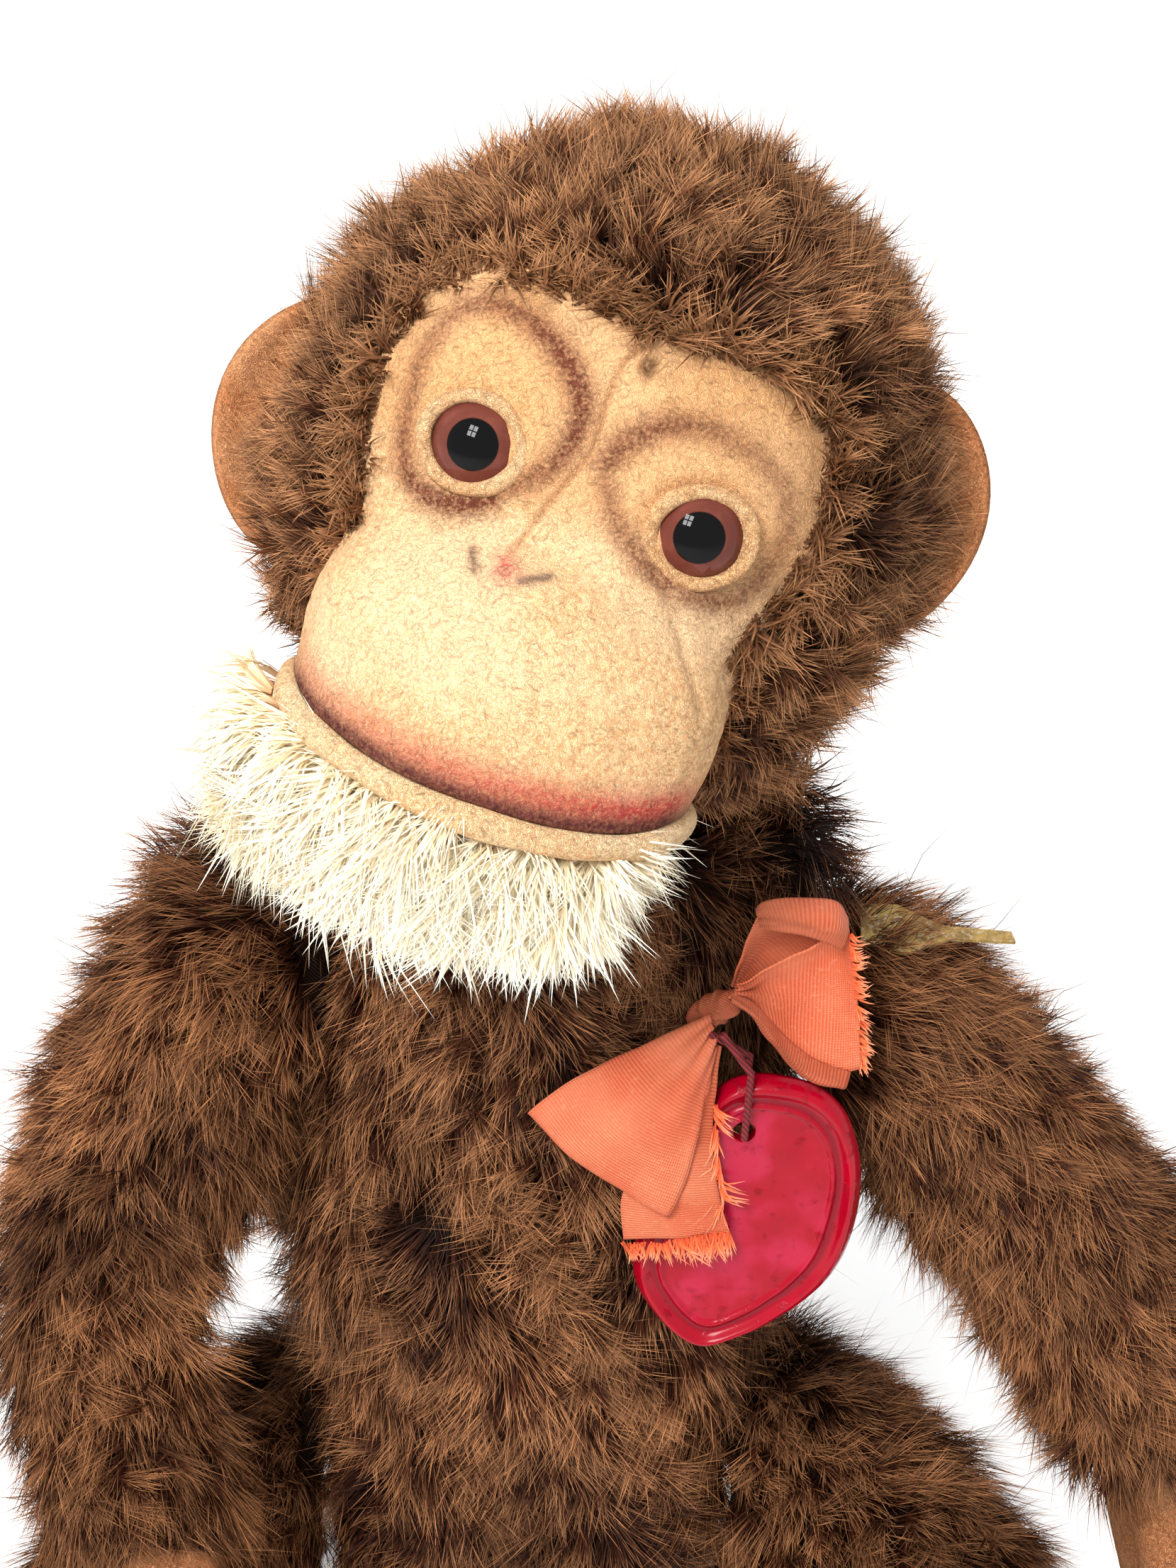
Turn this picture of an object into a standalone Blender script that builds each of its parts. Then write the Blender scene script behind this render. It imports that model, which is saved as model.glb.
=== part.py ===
"""A seated mohair monkey with a yes/no head: the tail is a lever that nods and turns the head.

Metres, +Z up. The monkey sits on the plane z = 0 with its spine on the Z axis and faces -Y, so its
own left side is +X. The head is shown a little turned, thrown back and slipped askew on its lever.
"""

import math

import bmesh
import bpy
from mathutils import Matrix, Vector

MM = 0.001
GAP = 0.3 * MM                  # running clearance between neighbouring pieces

# Torso: a stuffed plush bag, turned and then widened
TORSO_HEIGHT = 145 * MM
TORSO_WIDENING = 1.12           # width over depth
BELLY_RADIUS = 31.5 * MM
BELLY_HEIGHT = 66 * MM
CHEST_RADIUS = 27.3 * MM
HIP_RADIUS = 26.4 * MM
SEAT_RADIUS = 22.5 * MM
NECK_RADIUS = 16 * MM
PLUSH = 5 * MM                  # backing cloth and pile together
TORSO_STEPS = 22

# Frame and spindle
STRAP_WIDTH = 28 * MM
STRAP_DEPTH = 13 * MM
STRAP_GAUGE = 1.2 * MM
STRAP_FOOT = 33 * MM
STRAP_TOP = TORSO_HEIGHT - 6 * MM
TUBE_DIAMETER = 7 * MM
TUBE_BORE = 4.4 * MM
BUSH_WALL = 0.8 * MM
BUSH_LENGTH = 6 * MM
BUSH_FLANGE = 6 * MM
FORK_GAUGE = 1.2 * MM
FORK_INSIDE = 13.2 * MM         # between the two ears of each fork
FORK_DEPTH = 7 * MM
NECK_PLATE_RADIUS = 11.2 * MM
NECK_PLATE_GAUGE = 2 * MM
NOD_HEIGHT = TORSO_HEIGHT + 13 * MM  # pin that the head nods on
TAIL_HEIGHT = 19 * MM           # pin that the tail lifts on
PIN_BACK = 6 * MM               # both pins lie this far behind the tube, which is also the crank
PIN_DIAMETER = 2.5 * MM
LINK_DIAMETER = 1.8 * MM
ROD_DIAMETER = 2 * MM
ROD_EYE_BORE = 3.6 * MM
ROD_EYE_RIM = 1.3 * MM
ROD_EYE_GAUGE = 1.6 * MM
LEVER_GAUGE = 1.8 * MM
LEVER_ASIDE = 2.1 * MM          # the levers run beside the rod
BOSS_RADIUS = 4.2 * MM
LINK_BOSS_RADIUS = 2.6 * MM

# How the head is held in the photograph
HEAD_TURN = math.radians(-4)
HEAD_BACK = math.radians(19)
HEAD_ASKEW = math.radians(15)
TAIL_RISE = math.radians(25)    # tail above level when the head is level

# Head: an egg of stuffing under plush, with felt set into its front
HEAD_AHEAD = 18.5 * MM
HEAD_ABOVE = 26.5 * MM
SKULL = Vector((34.7, 33.0, 35.0)) * MM
SKULL_RISE = 1 * MM
NECK_HOLLOW = 23 * MM
FELT = 2 * MM
ANCHOR_RADIUS = 14 * MM
ANCHOR_GAUGE = 2 * MM
ANCHOR_AHEAD = 9 * MM
ANCHOR_ABOVE = 23 * MM
EYE_SPACING = 27.2 * MM
EYE_HEIGHT = 2 * MM
EYE_RADIUS = 5.8 * MM
EYE_DEPTH = 29.3 * MM           # middle of the glass in front of the skull's middle
LID_RADIUS = 6.1 * MM
LID_ROLL = 1 * MM
MUZZLE = Vector((27.0, 20.0, 16.5)) * MM
MUZZLE_AHEAD = 27 * MM
MUZZLE_DROP = 20 * MM
MOUTH_DROP = 28.6 * MM
MOUTH_SLOPE = math.radians(11)
LIP_THICKNESS = 4.4 * MM
BEARD = Vector((28.0, 13.0, 17.0)) * MM
BEARD_AHEAD = 27 * MM
BEARD_DROP = 37 * MM
EAR_HALF_HEIGHT = 16 * MM
EAR_HALF_WIDTH = 12.5 * MM
EAR_OUT = 32.5 * MM
EAR_BACK = 4 * MM
EAR_CUP = 4.5 * MM              # how deep the ear is cupped
EAR_UNEVEN = 7.2 * MM            # the left ear is sewn higher and the right one lower by this much

# Limbs: each hangs on two hardboard discs and a split pin
JOINT_FACE = 31.9 * MM          # inner face of a limb, beside the torso
SHOULDER_HEIGHT = TORSO_HEIGHT - 33 * MM
SHOULDER_AHEAD = 2 * MM
SHOULDER_DISC = 9 * MM
HIP_HEIGHT = 24 * MM
HIP_AHEAD = 0 * MM
HIP_DISC = 8.5 * MM
SHOULDER_SEAT = 4.8 * MM        # from the cover's inside to the torso disc
HIP_SEAT = 4.2 * MM
DISC_GAUGE = 2 * MM
LIMB_PLUSH = 3.2 * MM
ARM_LENGTH = 100 * MM            # from the joint to the wrist along the arm
LEG_LENGTH = 100 * MM            # from the joint to the ankle along the leg
COTTER_DIAMETER = 1.8 * MM

# Tail
TAIL_RADIUS = 8 * MM
TAIL_START = 27 * MM
TAIL_LENGTH = 77 * MM
TAIL_PLATE_DEPTH = 5 * MM
TAIL_SWING = math.radians(23)   # half angle of the slot in the back

# Trimmings
RIBBON = 0.8 * MM
KNOT_DROP = 21.6 * MM           # below the neck
KNOT_PLACE = Vector((20 * MM, -24.2 * MM, TORSO_HEIGHT - KNOT_DROP))
MEDAL_HEIGHT = 43.6 * MM
MEDAL_THICKNESS = 2.2 * MM
MEDAL_HOLE = 1.5 * MM
MEDAL_HOLE_RISE = 14.2 * MM     # above the medallion's middle
MEDAL_LEAN = math.radians(8)    # its foot stands forward on the belly
THREAD_DIAMETER = 1 * MM
MEDAL_PLACE = KNOT_PLACE + Vector((6.0, -6.4, -29.4)) * MM

for old in list(bpy.data.objects):
    bpy.data.objects.remove(old)

pieces = bpy.data.collections.new("mechanical_stuffed_monkey")
cutters = bpy.data.collections.new("cutters")
bpy.context.scene.collection.children.link(pieces)
bpy.context.scene.collection.children.link(cutters)


def finish(name, colour, roughness, metallic=0.0):
    """A plain material for one kind of stuff."""
    made = bpy.data.materials.new(name)
    made.use_nodes = True
    shader = made.node_tree.nodes["Principled BSDF"]
    shader.inputs["Base Color"].default_value = (*colour, 1)
    shader.inputs["Roughness"].default_value = roughness
    shader.inputs["Metallic"].default_value = metallic
    return made


MOHAIR = finish("brown_mohair", (0.19, 0.09, 0.045), 0.95)
CREAM_MOHAIR = finish("cream_mohair", (0.85, 0.78, 0.62), 0.95)
TAN_FELT = finish("tan_felt", (0.72, 0.46, 0.25), 0.95)
HAND_FELT = finish("orange_tan_felt", (0.62, 0.30, 0.14), 0.95)
WOOD_WOOL = finish("wood_wool", (0.70, 0.55, 0.33), 0.9)
HARDBOARD = finish("hardboard", (0.33, 0.20, 0.11), 0.8)
STEEL = finish("sheet_steel", (0.45, 0.45, 0.46), 0.4, 1.0)
BRASS = finish("brass", (0.75, 0.55, 0.25), 0.35, 1.0)
GLASS = finish("eye_glass", (0.07, 0.02, 0.01), 0.05)
SILK = finish("coral_ribbon", (0.72, 0.16, 0.09), 0.6)
RED_PLASTIC = finish("crimson_plastic", (0.55, 0.01, 0.04), 0.25)
OLD_GOLD = finish("old_gold_paper", (0.35, 0.25, 0.10), 0.6)
THREAD = finish("red_thread", (0.35, 0.02, 0.04), 0.8)


def pose(name, parent=None, location=(0, 0, 0), rotation=(0, 0, 0)):
    """An empty that pieces are parented to."""
    made = bpy.data.objects.new(name, None)
    made.parent = parent
    made.location = location
    made.rotation_euler = rotation
    pieces.objects.link(made)
    return made


def piece(name, mesh, stuff, parent=None):
    """One named sub-part from a mesh."""
    made = bpy.data.objects.new(name, mesh)
    mesh.materials.clear()
    mesh.materials.append(stuff)
    mesh.shade_smooth()
    mesh.set_sharp_from_angle(angle=math.radians(40))
    made.parent = parent
    pieces.objects.link(made)
    return made


def cutter(name, mesh, parent=None):
    """A hidden solid that shapes others."""
    made = bpy.data.objects.new(name, mesh)
    made.parent = parent
    made.hide_render = True
    made.display_type = "WIRE"
    cutters.objects.link(made)
    return made


def shape(target, tool, operation="DIFFERENCE"):
    """Cuts, joins or trims one object by another."""
    change = target.modifiers.new(operation.lower(), "BOOLEAN")
    change.operation = operation
    change.solver = "EXACT"
    change.object = tool


def subdivide(target, levels=1):
    soft = target.modifiers.new("soft", "SUBSURF")
    soft.levels = soft.render_levels = levels


def mesh_from(source):
    """The welded mesh that an object's curve or modifiers make; the object goes."""
    bpy.context.view_layer.update()
    seen = source.evaluated_get(bpy.context.evaluated_depsgraph_get())
    mesh = bpy.data.meshes.new_from_object(seen)
    mesh.transform(source.matrix_world)
    bpy.data.objects.remove(source)
    work = bmesh.new()
    work.from_mesh(mesh)
    bmesh.ops.remove_doubles(work, verts=work.verts, dist=0.002 * MM)
    bmesh.ops.recalc_face_normals(work, faces=work.faces)
    work.to_mesh(mesh)
    work.free()
    return mesh


def turned(outline, steps=18, closed=False):
    """A solid of revolution about Z from (radius, height) pairs that run down its outer side."""
    edges = [(i, i + 1) for i in range(len(outline) - 1)]
    if closed:
        edges.append((len(outline) - 1, 0))
    mesh = bpy.data.meshes.new("outline")
    mesh.from_pydata([(radius, 0, height) for radius, height in outline], edges, [])
    source = bpy.data.objects.new("outline", mesh)
    cutters.objects.link(source)
    screw = source.modifiers.new("Screw", "SCREW")
    screw.steps = screw.render_steps = steps
    screw.use_merge_vertices = True
    screw.merge_threshold = 0.01 * MM
    return mesh_from(source)


def cylinder(radius, low, high, steps=18):
    return turned([(0, high), (radius, high), (radius, low), (0, low)], steps)


def tube(outer, inner, low, high, steps=18):
    return turned([(outer, high), (outer, low), (inner, low), (inner, high)], steps, closed=True)


def along_x(mesh, centre=(0, 0, 0)):
    """Lays a mesh that was made about Z along X, with its middle at centre."""
    mesh.transform(Matrix.Translation(centre) @ Matrix.Rotation(math.pi / 2, 4, "Y"))
    return mesh


def ball(radii, centre=(0, 0, 0), segments=24, rings=12):
    """An egg from a sphere scaled along the three axes."""
    work = bmesh.new()
    bmesh.ops.create_uvsphere(work, u_segments=segments, v_segments=rings, radius=1)
    bmesh.ops.transform(
        work, verts=work.verts, matrix=Matrix.Translation(centre) @ Matrix.Diagonal((*radii, 1))
    )
    mesh = bpy.data.meshes.new("ball")
    work.to_mesh(mesh)
    work.free()
    return mesh


def box(low, high):
    work = bmesh.new()
    bmesh.ops.create_cube(work, size=1)
    low, high = Vector(low), Vector(high)
    place = Matrix.Translation((low + high) / 2) @ Matrix.Diagonal((*(high - low), 1))
    bmesh.ops.transform(work, verts=work.verts, matrix=place)
    mesh = bpy.data.meshes.new("box")
    work.to_mesh(mesh)
    work.free()
    return mesh


def plate(outlines, thickness):
    """A flat sheet in the XY plane: the first outline is its edge and the others are holes."""
    curve = bpy.data.curves.new("plate", "CURVE")
    curve.dimensions = "2D"
    curve.fill_mode = "BOTH"
    curve.extrude = thickness / 2
    for outline in outlines:
        line = curve.splines.new("POLY")
        line.points.add(len(outline) - 1)
        for point, (x, y) in zip(line.points, outline):
            point.co = (x, y, 0, 1)
        line.use_cyclic_u = True
    source = bpy.data.objects.new("plate", curve)
    cutters.objects.link(source)
    return mesh_from(source)


def wire(points, diameter, resolution=2):
    """A round wire through points."""
    curve = bpy.data.curves.new("wire", "CURVE")
    curve.dimensions = "3D"
    curve.bevel_depth = diameter / 2
    curve.bevel_resolution = resolution
    curve.use_fill_caps = True
    line = curve.splines.new("POLY")
    line.points.add(len(points) - 1)
    for point, place in zip(line.points, points):
        point.co = (*place, 1)
    source = bpy.data.objects.new("wire", curve)
    cutters.objects.link(source)
    return mesh_from(source)


def lofted(sections, sides=10):
    """A closed cage through oval rings, each given as (centre, direction, half width, half height)."""
    work = bmesh.new()
    last = None
    for centre, ahead, wide, tall in sections:
        turn = Vector(ahead).to_track_quat("Z", "Y").to_matrix().to_4x4()
        place = Matrix.Translation(centre) @ turn @ Matrix.Diagonal((wide, tall, 1, 1))
        ring = bmesh.ops.create_circle(work, segments=sides, radius=1, matrix=place)["verts"]
        edges = [e for e in work.edges if e.verts[0] in ring and e.verts[1] in ring]
        if last is None:
            bmesh.ops.contextual_create(work, geom=edges)
        else:
            bmesh.ops.bridge_loops(work, edges=last + edges)
        last = edges
    bmesh.ops.contextual_create(work, geom=last)
    bmesh.ops.recalc_face_normals(work, faces=work.faces)
    mesh = bpy.data.meshes.new("loft")
    work.to_mesh(mesh)
    work.free()
    return mesh


def arc(centre, radius, start, end, steps):
    """Points on a circle from one angle to another, in degrees."""
    angles = [math.radians(start + (end - start) * i / steps) for i in range(steps + 1)]
    return [(centre[0] + radius * math.cos(a), centre[1] + radius * math.sin(a)) for a in angles]


def smooth_outline(points, steps):
    """Points on a smooth curve through (radius, height) pairs."""
    ends = [points[0], *points, points[-1]]
    curve = []
    for before, here, there, after in zip(ends, ends[1:], ends[2:], ends[3:]):
        for i in range(steps):
            t = i / steps
            curve.append(tuple(
                0.5 * (2 * h + (n - b) * t + (2 * b - 5 * h + 4 * n - a) * t * t
                       + (3 * h - b - 3 * n + a) * t ** 3)
                for b, h, n, a in zip(before, here, there, after)
            ))
    return [*curve, points[-1]]


def grown(radii, amount):
    return [r + amount for r in radii]


# Poses: the spindle turns about Z, the head and the tail lift on its two pins
spindle_pose = pose("spindle_pose", rotation=(0, 0, HEAD_TURN))
lever_pose = pose("lever_pose", spindle_pose, (0, PIN_BACK, NOD_HEIGHT), (-HEAD_BACK, 0, 0))
tail_pose = pose("tail_pose", spindle_pose, (0, PIN_BACK, TAIL_HEIGHT), (-HEAD_BACK, 0, 0))
head_pose = pose("head_pose", lever_pose, (0, -HEAD_AHEAD, HEAD_ABOVE), (0, HEAD_ASKEW, 0))

# Frame strap: one flat steel strip bent round into a tall loop
half_strap = STRAP_WIDTH / 2
strap_outer = [(-half_strap, STRAP_FOOT), (half_strap, STRAP_FOOT), (half_strap, STRAP_TOP),
               (-half_strap, STRAP_TOP)]
strap_inner = [(x - math.copysign(STRAP_GAUGE, x), z + (STRAP_GAUGE if z == STRAP_FOOT else -STRAP_GAUGE))
               for x, z in strap_outer]
strap_mesh = plate([strap_outer, strap_inner], STRAP_DEPTH)
strap_mesh.transform(Matrix.Rotation(math.pi / 2, 4, "X"))
frame_strap = piece("frame_strap", strap_mesh, STEEL)
bush_radius = TUBE_DIAMETER / 2 + GAP + BUSH_WALL
shape(frame_strap, cutter("strap_bush_holes", cylinder(bush_radius + GAP, 0, TORSO_HEIGHT)))


def bush(name, seat, side):
    """A flanged bush whose flange bears on the outside of the strap; side is 1 above and -1 below."""
    bore = TUBE_DIAMETER / 2 + GAP
    flange_top = seat + side * (GAP + STRAP_GAUGE)
    flange_foot = seat + side * GAP
    end = seat - side * BUSH_LENGTH
    outline = [(BUSH_FLANGE, flange_top), (BUSH_FLANGE, flange_foot), (bush_radius, flange_foot),
               (bush_radius, end), (bore, end), (bore, flange_top)]
    return piece(name, turned(outline, closed=True), BRASS)


bush("top_bush", STRAP_TOP, 1)
bush("bottom_bush", STRAP_FOOT, -1)

# Neck plate: the hardboard disc that closes the top of the torso
plate_foot = TORSO_HEIGHT + GAP
plate_top = plate_foot + NECK_PLATE_GAUGE
piece("neck_plate", tube(NECK_PLATE_RADIUS, TUBE_DIAMETER / 2 + 2 * GAP, plate_foot, plate_top), HARDBOARD)

# Spindle: a steel tube with a fork at each end
tube_top = plate_top + GAP
flange_drop = STRAP_GAUGE + 2 * GAP
tube_foot = STRAP_FOOT - flange_drop - FORK_GAUGE
piece("neck_tube", tube(TUBE_DIAMETER / 2, TUBE_BORE / 2, tube_foot, tube_top), STEEL, spindle_pose)


def fork(name, base, pin_height):
    """A U of sheet steel: its base is soldered to the tube and its ears lean back to the pin."""
    side = 1 if pin_height > base else -1
    half = FORK_DEPTH / 2
    tip = pin_height + side * BOSS_RADIUS
    shoulder = base + side * 4 * MM
    edge = [(-half, base), (half, base), (PIN_BACK + BOSS_RADIUS, pin_height),
            (PIN_BACK + BOSS_RADIUS - 1 * MM, tip - side * MM), (PIN_BACK + 1 * MM, tip),
            (PIN_BACK - BOSS_RADIUS + MM, tip), (-half, shoulder + side * 2 * MM)]
    side_on = plate([edge], FORK_INSIDE + 2 * FORK_GAUGE)
    side_on.transform(Matrix.Rotation(math.pi / 2, 4, "Z") @ Matrix.Rotation(math.pi / 2, 4, "X"))
    made = piece(name, side_on, STEEL, spindle_pose)
    floor = base + side * FORK_GAUGE
    far = tip + side * 5 * MM
    inner = box((-FORK_INSIDE / 2, -20 * MM, min(floor, far)), (FORK_INSIDE / 2, 20 * MM, max(floor, far)))
    shape(made, cutter(name + "_inside", inner, spindle_pose))
    shape(made, cutter(name + "_bore", cylinder(TUBE_BORE / 2, base - 3 * MM, base + 3 * MM), spindle_pose))
    across = along_x(cylinder(PIN_DIAMETER / 2 + GAP, -12 * MM, 12 * MM), (0, PIN_BACK, pin_height))
    shape(made, cutter(name + "_pin_hole", across, spindle_pose))
    return made


fork("neck_fork", tube_top + GAP, NOD_HEIGHT)
fork("tail_fork", tube_foot - GAP, TAIL_HEIGHT)


def pin(name, diameter, reach, centre, parent, steps=16):
    """A headed pin along X; reach is (low, high) between the insides of its two heads."""
    radius = diameter / 2
    head = radius + 0.9 * MM
    low, high = reach
    outline = [(0, high + MM), (head, high + MM), (head, high), (radius, high), (radius, low),
               (head, low), (head, low - MM), (0, low - MM)]
    return piece(name, along_x(turned(outline, steps), centre), STEEL, parent)


fork_reach = FORK_INSIDE / 2 + FORK_GAUGE + GAP
pin("nod_pin", PIN_DIAMETER, (-fork_reach, fork_reach), (0, PIN_BACK, NOD_HEIGHT), spindle_pose)
pin("tail_pin", PIN_DIAMETER, (-fork_reach, fork_reach), (0, PIN_BACK, TAIL_HEIGHT), spindle_pose)

# Push rod: joins the two cranks through the tube, with an eye at each end
crank_rise = PIN_BACK * math.sin(HEAD_BACK)
eye_ahead = PIN_BACK * (1 - math.cos(HEAD_BACK)) / 2
eye_radius = ROD_EYE_BORE / 2 + ROD_EYE_RIM
rod_ends = [TAIL_HEIGHT + crank_rise, NOD_HEIGHT + crank_rise]
rod_mesh = wire([(0, 0, rod_ends[0] + eye_radius - 0.4 * MM), (0, 0, rod_ends[1] - eye_radius + 0.4 * MM)],
                ROD_DIAMETER)
push_rod = piece("push_rod", rod_mesh, STEEL, spindle_pose)
for height in rod_ends:
    ring = along_x(tube(eye_radius, ROD_EYE_BORE / 2, -ROD_EYE_GAUGE / 2, ROD_EYE_GAUGE / 2, 20),
                   (0, eye_ahead, height))
    shape(push_rod, cutter("rod_eye", ring, spindle_pose), "UNION")

link_reach = (-LEVER_ASIDE - LEVER_GAUGE / 2 - GAP, ROD_EYE_GAUGE / 2 + GAP)
for name, holder in (("head_link_pin", lever_pose), ("tail_link_pin", tail_pose)):
    pin(name, LINK_DIAMETER, link_reach, (0, -PIN_BACK, 0), holder, 12)


def lever(name, edge, parent):
    """A steel lever beside the rod, with its pivot at the pose's origin and its crank hole ahead."""
    side_on = plate([edge], LEVER_GAUGE)
    side_on.transform(Matrix.Rotation(math.pi / 2, 4, "Z") @ Matrix.Rotation(math.pi / 2, 4, "X"))
    side_on.transform(Matrix.Translation((-LEVER_ASIDE, 0, 0)))
    made = piece(name, side_on, STEEL, parent)
    pivot = along_x(cylinder(PIN_DIAMETER / 2 + GAP, -5 * MM, 5 * MM, 16))
    shape(made, cutter(name + "_pivot_hole", pivot, parent))
    link = along_x(cylinder(LINK_DIAMETER / 2 + GAP, -5 * MM, 5 * MM, 12), (0, -PIN_BACK, 0))
    shape(made, cutter(name + "_link_hole", link, parent))
    return made


# Head lever: from the crank past the nod pin and up through the anchor disc
shank = 3.5 * MM
lever_top = ANCHOR_ABOVE + ANCHOR_GAUGE / 2 + 2 * MM
anchor_foot = ANCHOR_ABOVE - ANCHOR_GAUGE / 2
head_edge = [
    *arc((-PIN_BACK, 0), LINK_BOSS_RADIUS, 130, 270, 6),
    *arc((0, 0), BOSS_RADIUS, -90, 20, 6),
    (-ANCHOR_AHEAD + shank, anchor_foot - 3 * MM),
    (-ANCHOR_AHEAD + shank, lever_top),
    (-ANCHOR_AHEAD - shank, lever_top),
    (-ANCHOR_AHEAD - shank, anchor_foot - 3 * MM),
    (-BOSS_RADIUS, BOSS_RADIUS),
]
lever("head_lever", head_edge, lever_pose)
disc_outline = arc((0, 0), ANCHOR_RADIUS, 0, 360 * 31 / 32, 31)
slot_half = LEVER_GAUGE / 2 + GAP
slot = [(-LEVER_ASIDE - slot_half, -shank - GAP), (-LEVER_ASIDE + slot_half, -shank - GAP),
        (-LEVER_ASIDE + slot_half, shank + GAP), (-LEVER_ASIDE - slot_half, shank + GAP)]
anchor_mesh = plate([disc_outline, slot], ANCHOR_GAUGE)
anchor_mesh.transform(Matrix.Translation((0, -ANCHOR_AHEAD, ANCHOR_ABOVE)))
piece("head_anchor_disc", anchor_mesh, HARDBOARD, lever_pose)

# Tail lever: from the crank past its pin and back into the tail
back = Vector((math.cos(TAIL_RISE), math.sin(TAIL_RISE)))
up = Vector((-back.y, back.x))
half_plate = TAIL_PLATE_DEPTH / 2
plate_end = TAIL_START + TAIL_LENGTH * 0.55
far_high = back * plate_end + up * half_plate * 0.6
far_low = back * plate_end - up * half_plate * 0.6
root_high = back * BOSS_RADIUS + up * half_plate
root_low = back * BOSS_RADIUS - up * half_plate
tail_edge = [
    *arc((-PIN_BACK, 0), LINK_BOSS_RADIUS, 90, 270, 8),
    *arc((0, 0), BOSS_RADIUS, -90, -20, 4),
    tuple(root_low), tuple(far_low), tuple(far_high), tuple(root_high),
    *arc((0, 0), BOSS_RADIUS, 70, 110, 3),
]
lever("tail_lever", tail_edge, tail_pose)

# Tail: a stuffed mohair sleeve over the lever, curling up at its tip
def tail_point(along, rise):
    flat = back * along + up * rise
    return (-LEVER_ASIDE, flat.x, flat.y)


def tail_way(lean):
    flat = back * math.cos(lean) + up * math.sin(lean)
    return (0, flat.x, flat.y)


tail_stations = [
    (0.00, 0.0, 0.0, 0.64), (0.02, 0.0, 0.0, 0.72), (0.13, 0.0, 0.0, 0.76), (0.26, 0.0, 0.0, 0.98),
    (0.4, 0.0, 0.02, 1.0), (0.62, 0.01, 0.12, 1.0),
    (0.82, 0.05, 0.35, 0.92), (0.95, 0.11, 0.5, 0.7), (1.0, 0.14, 0.55, 0.35),
]
tail_cover = piece("tail_cover", lofted([
    (tail_point(TAIL_START + share * TAIL_LENGTH, rise * TAIL_LENGTH), tail_way(lean),
     TAIL_RADIUS * size, TAIL_RADIUS * size)
    for share, rise, lean, size in tail_stations
]), MOHAIR, tail_pose)
subdivide(tail_cover)
tail_slot = plate([[
    tuple(back * (TAIL_START - 5 * MM) + up * (half_plate + GAP)),
    tuple(back * (TAIL_START - 5 * MM) - up * (half_plate + GAP)),
    tuple(back * (plate_end + GAP) - up * (half_plate + GAP)),
    tuple(back * (plate_end + GAP) + up * (half_plate + GAP)),
]], LEVER_GAUGE + 2 * GAP)
tail_slot.transform(Matrix.Rotation(math.pi / 2, 4, "Z") @ Matrix.Rotation(math.pi / 2, 4, "X"))
tail_slot.transform(Matrix.Translation((-LEVER_ASIDE, 0, 0)))
shape(tail_cover, cutter("tail_slot", tail_slot, tail_pose))

# Torso cover: turned plush bag with an open neck, pin holes and a slot for the tail
torso_points = [
    (NECK_RADIUS, TORSO_HEIGHT), (CHEST_RADIUS - 3.9 * MM, TORSO_HEIGHT - 9 * MM),
    (CHEST_RADIUS - 1.1 * MM, TORSO_HEIGHT - 21 * MM), (CHEST_RADIUS, TORSO_HEIGHT - 37 * MM),
    (BELLY_RADIUS - MM, BELLY_HEIGHT + 18 * MM), (BELLY_RADIUS, BELLY_HEIGHT),
    (HIP_RADIUS + 1.8 * MM, 46 * MM), (HIP_RADIUS, 32 * MM), (HIP_RADIUS - MM, 18 * MM),
    (HIP_RADIUS - 2.4 * MM, 8 * MM), (SEAT_RADIUS, 1.2 * MM),
]
outer_line = smooth_outline(torso_points, 2)
inner_line = [(radius - PLUSH, height) for radius, height in outer_line if height > 1.5 * PLUSH]


def widened(mesh):
    mesh.transform(Matrix.Diagonal((TORSO_WIDENING, 1, 1, 1)))
    return mesh


cover_line = [*outer_line, (SEAT_RADIUS - 4 * MM, 0), (0, 0), (0, PLUSH),
              (inner_line[-1][0] - 4 * MM, PLUSH), *reversed(inner_line)]
torso_cover = piece("torso_cover", widened(turned([*cover_line, cover_line[0]], TORSO_STEPS)), MOHAIR)
stuffing_line = [(0, TORSO_HEIGHT - PLUSH), (inner_line[0][0] - GAP, TORSO_HEIGHT - PLUSH),
                 *[(r - GAP, z) for r, z in inner_line if z < TORSO_HEIGHT - PLUSH - MM],
                 (inner_line[-1][0] - 4 * MM, PLUSH + GAP), (0, PLUSH + GAP)]
torso_stuffing = piece("torso_stuffing", widened(turned(stuffing_line, TORSO_STEPS)), WOOD_WOOL)

# The hollow that the frame stands in and the tail lever sweeps
frame_room = box((-half_strap - GAP, -STRAP_DEPTH / 2 - GAP, STRAP_FOOT - 6 * MM),
                 (half_strap + GAP, STRAP_DEPTH / 2 + GAP, TORSO_HEIGHT + MM))
shape(torso_stuffing, cutter("frame_room", frame_room))
fork_sweep = math.hypot(FORK_INSIDE / 2 + FORK_GAUGE, PIN_BACK + BOSS_RADIUS) + MM
slot_low = TAIL_HEIGHT - BOSS_RADIUS - 1.5 * MM
slot_high = 43.5 * MM
fork_room = cylinder(fork_sweep, TAIL_HEIGHT - BOSS_RADIUS - MM, STRAP_FOOT + MM)
shape(torso_stuffing, cutter("fork_room", fork_room))
reach = 45 * MM
root_half = 7 * MM
far_half = root_half + reach * math.tan(TAIL_SWING)
sweep = plate([[(-root_half, 0), (root_half, 0), (far_half, reach), (-far_half, reach)]],
              slot_high - slot_low)
sweep.transform(Matrix.Translation((0, 0, (slot_high + slot_low) / 2)))
tail_room = cutter("tail_room", sweep)
shape(torso_stuffing, tail_room)
shape(torso_cover, tail_room)

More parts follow.
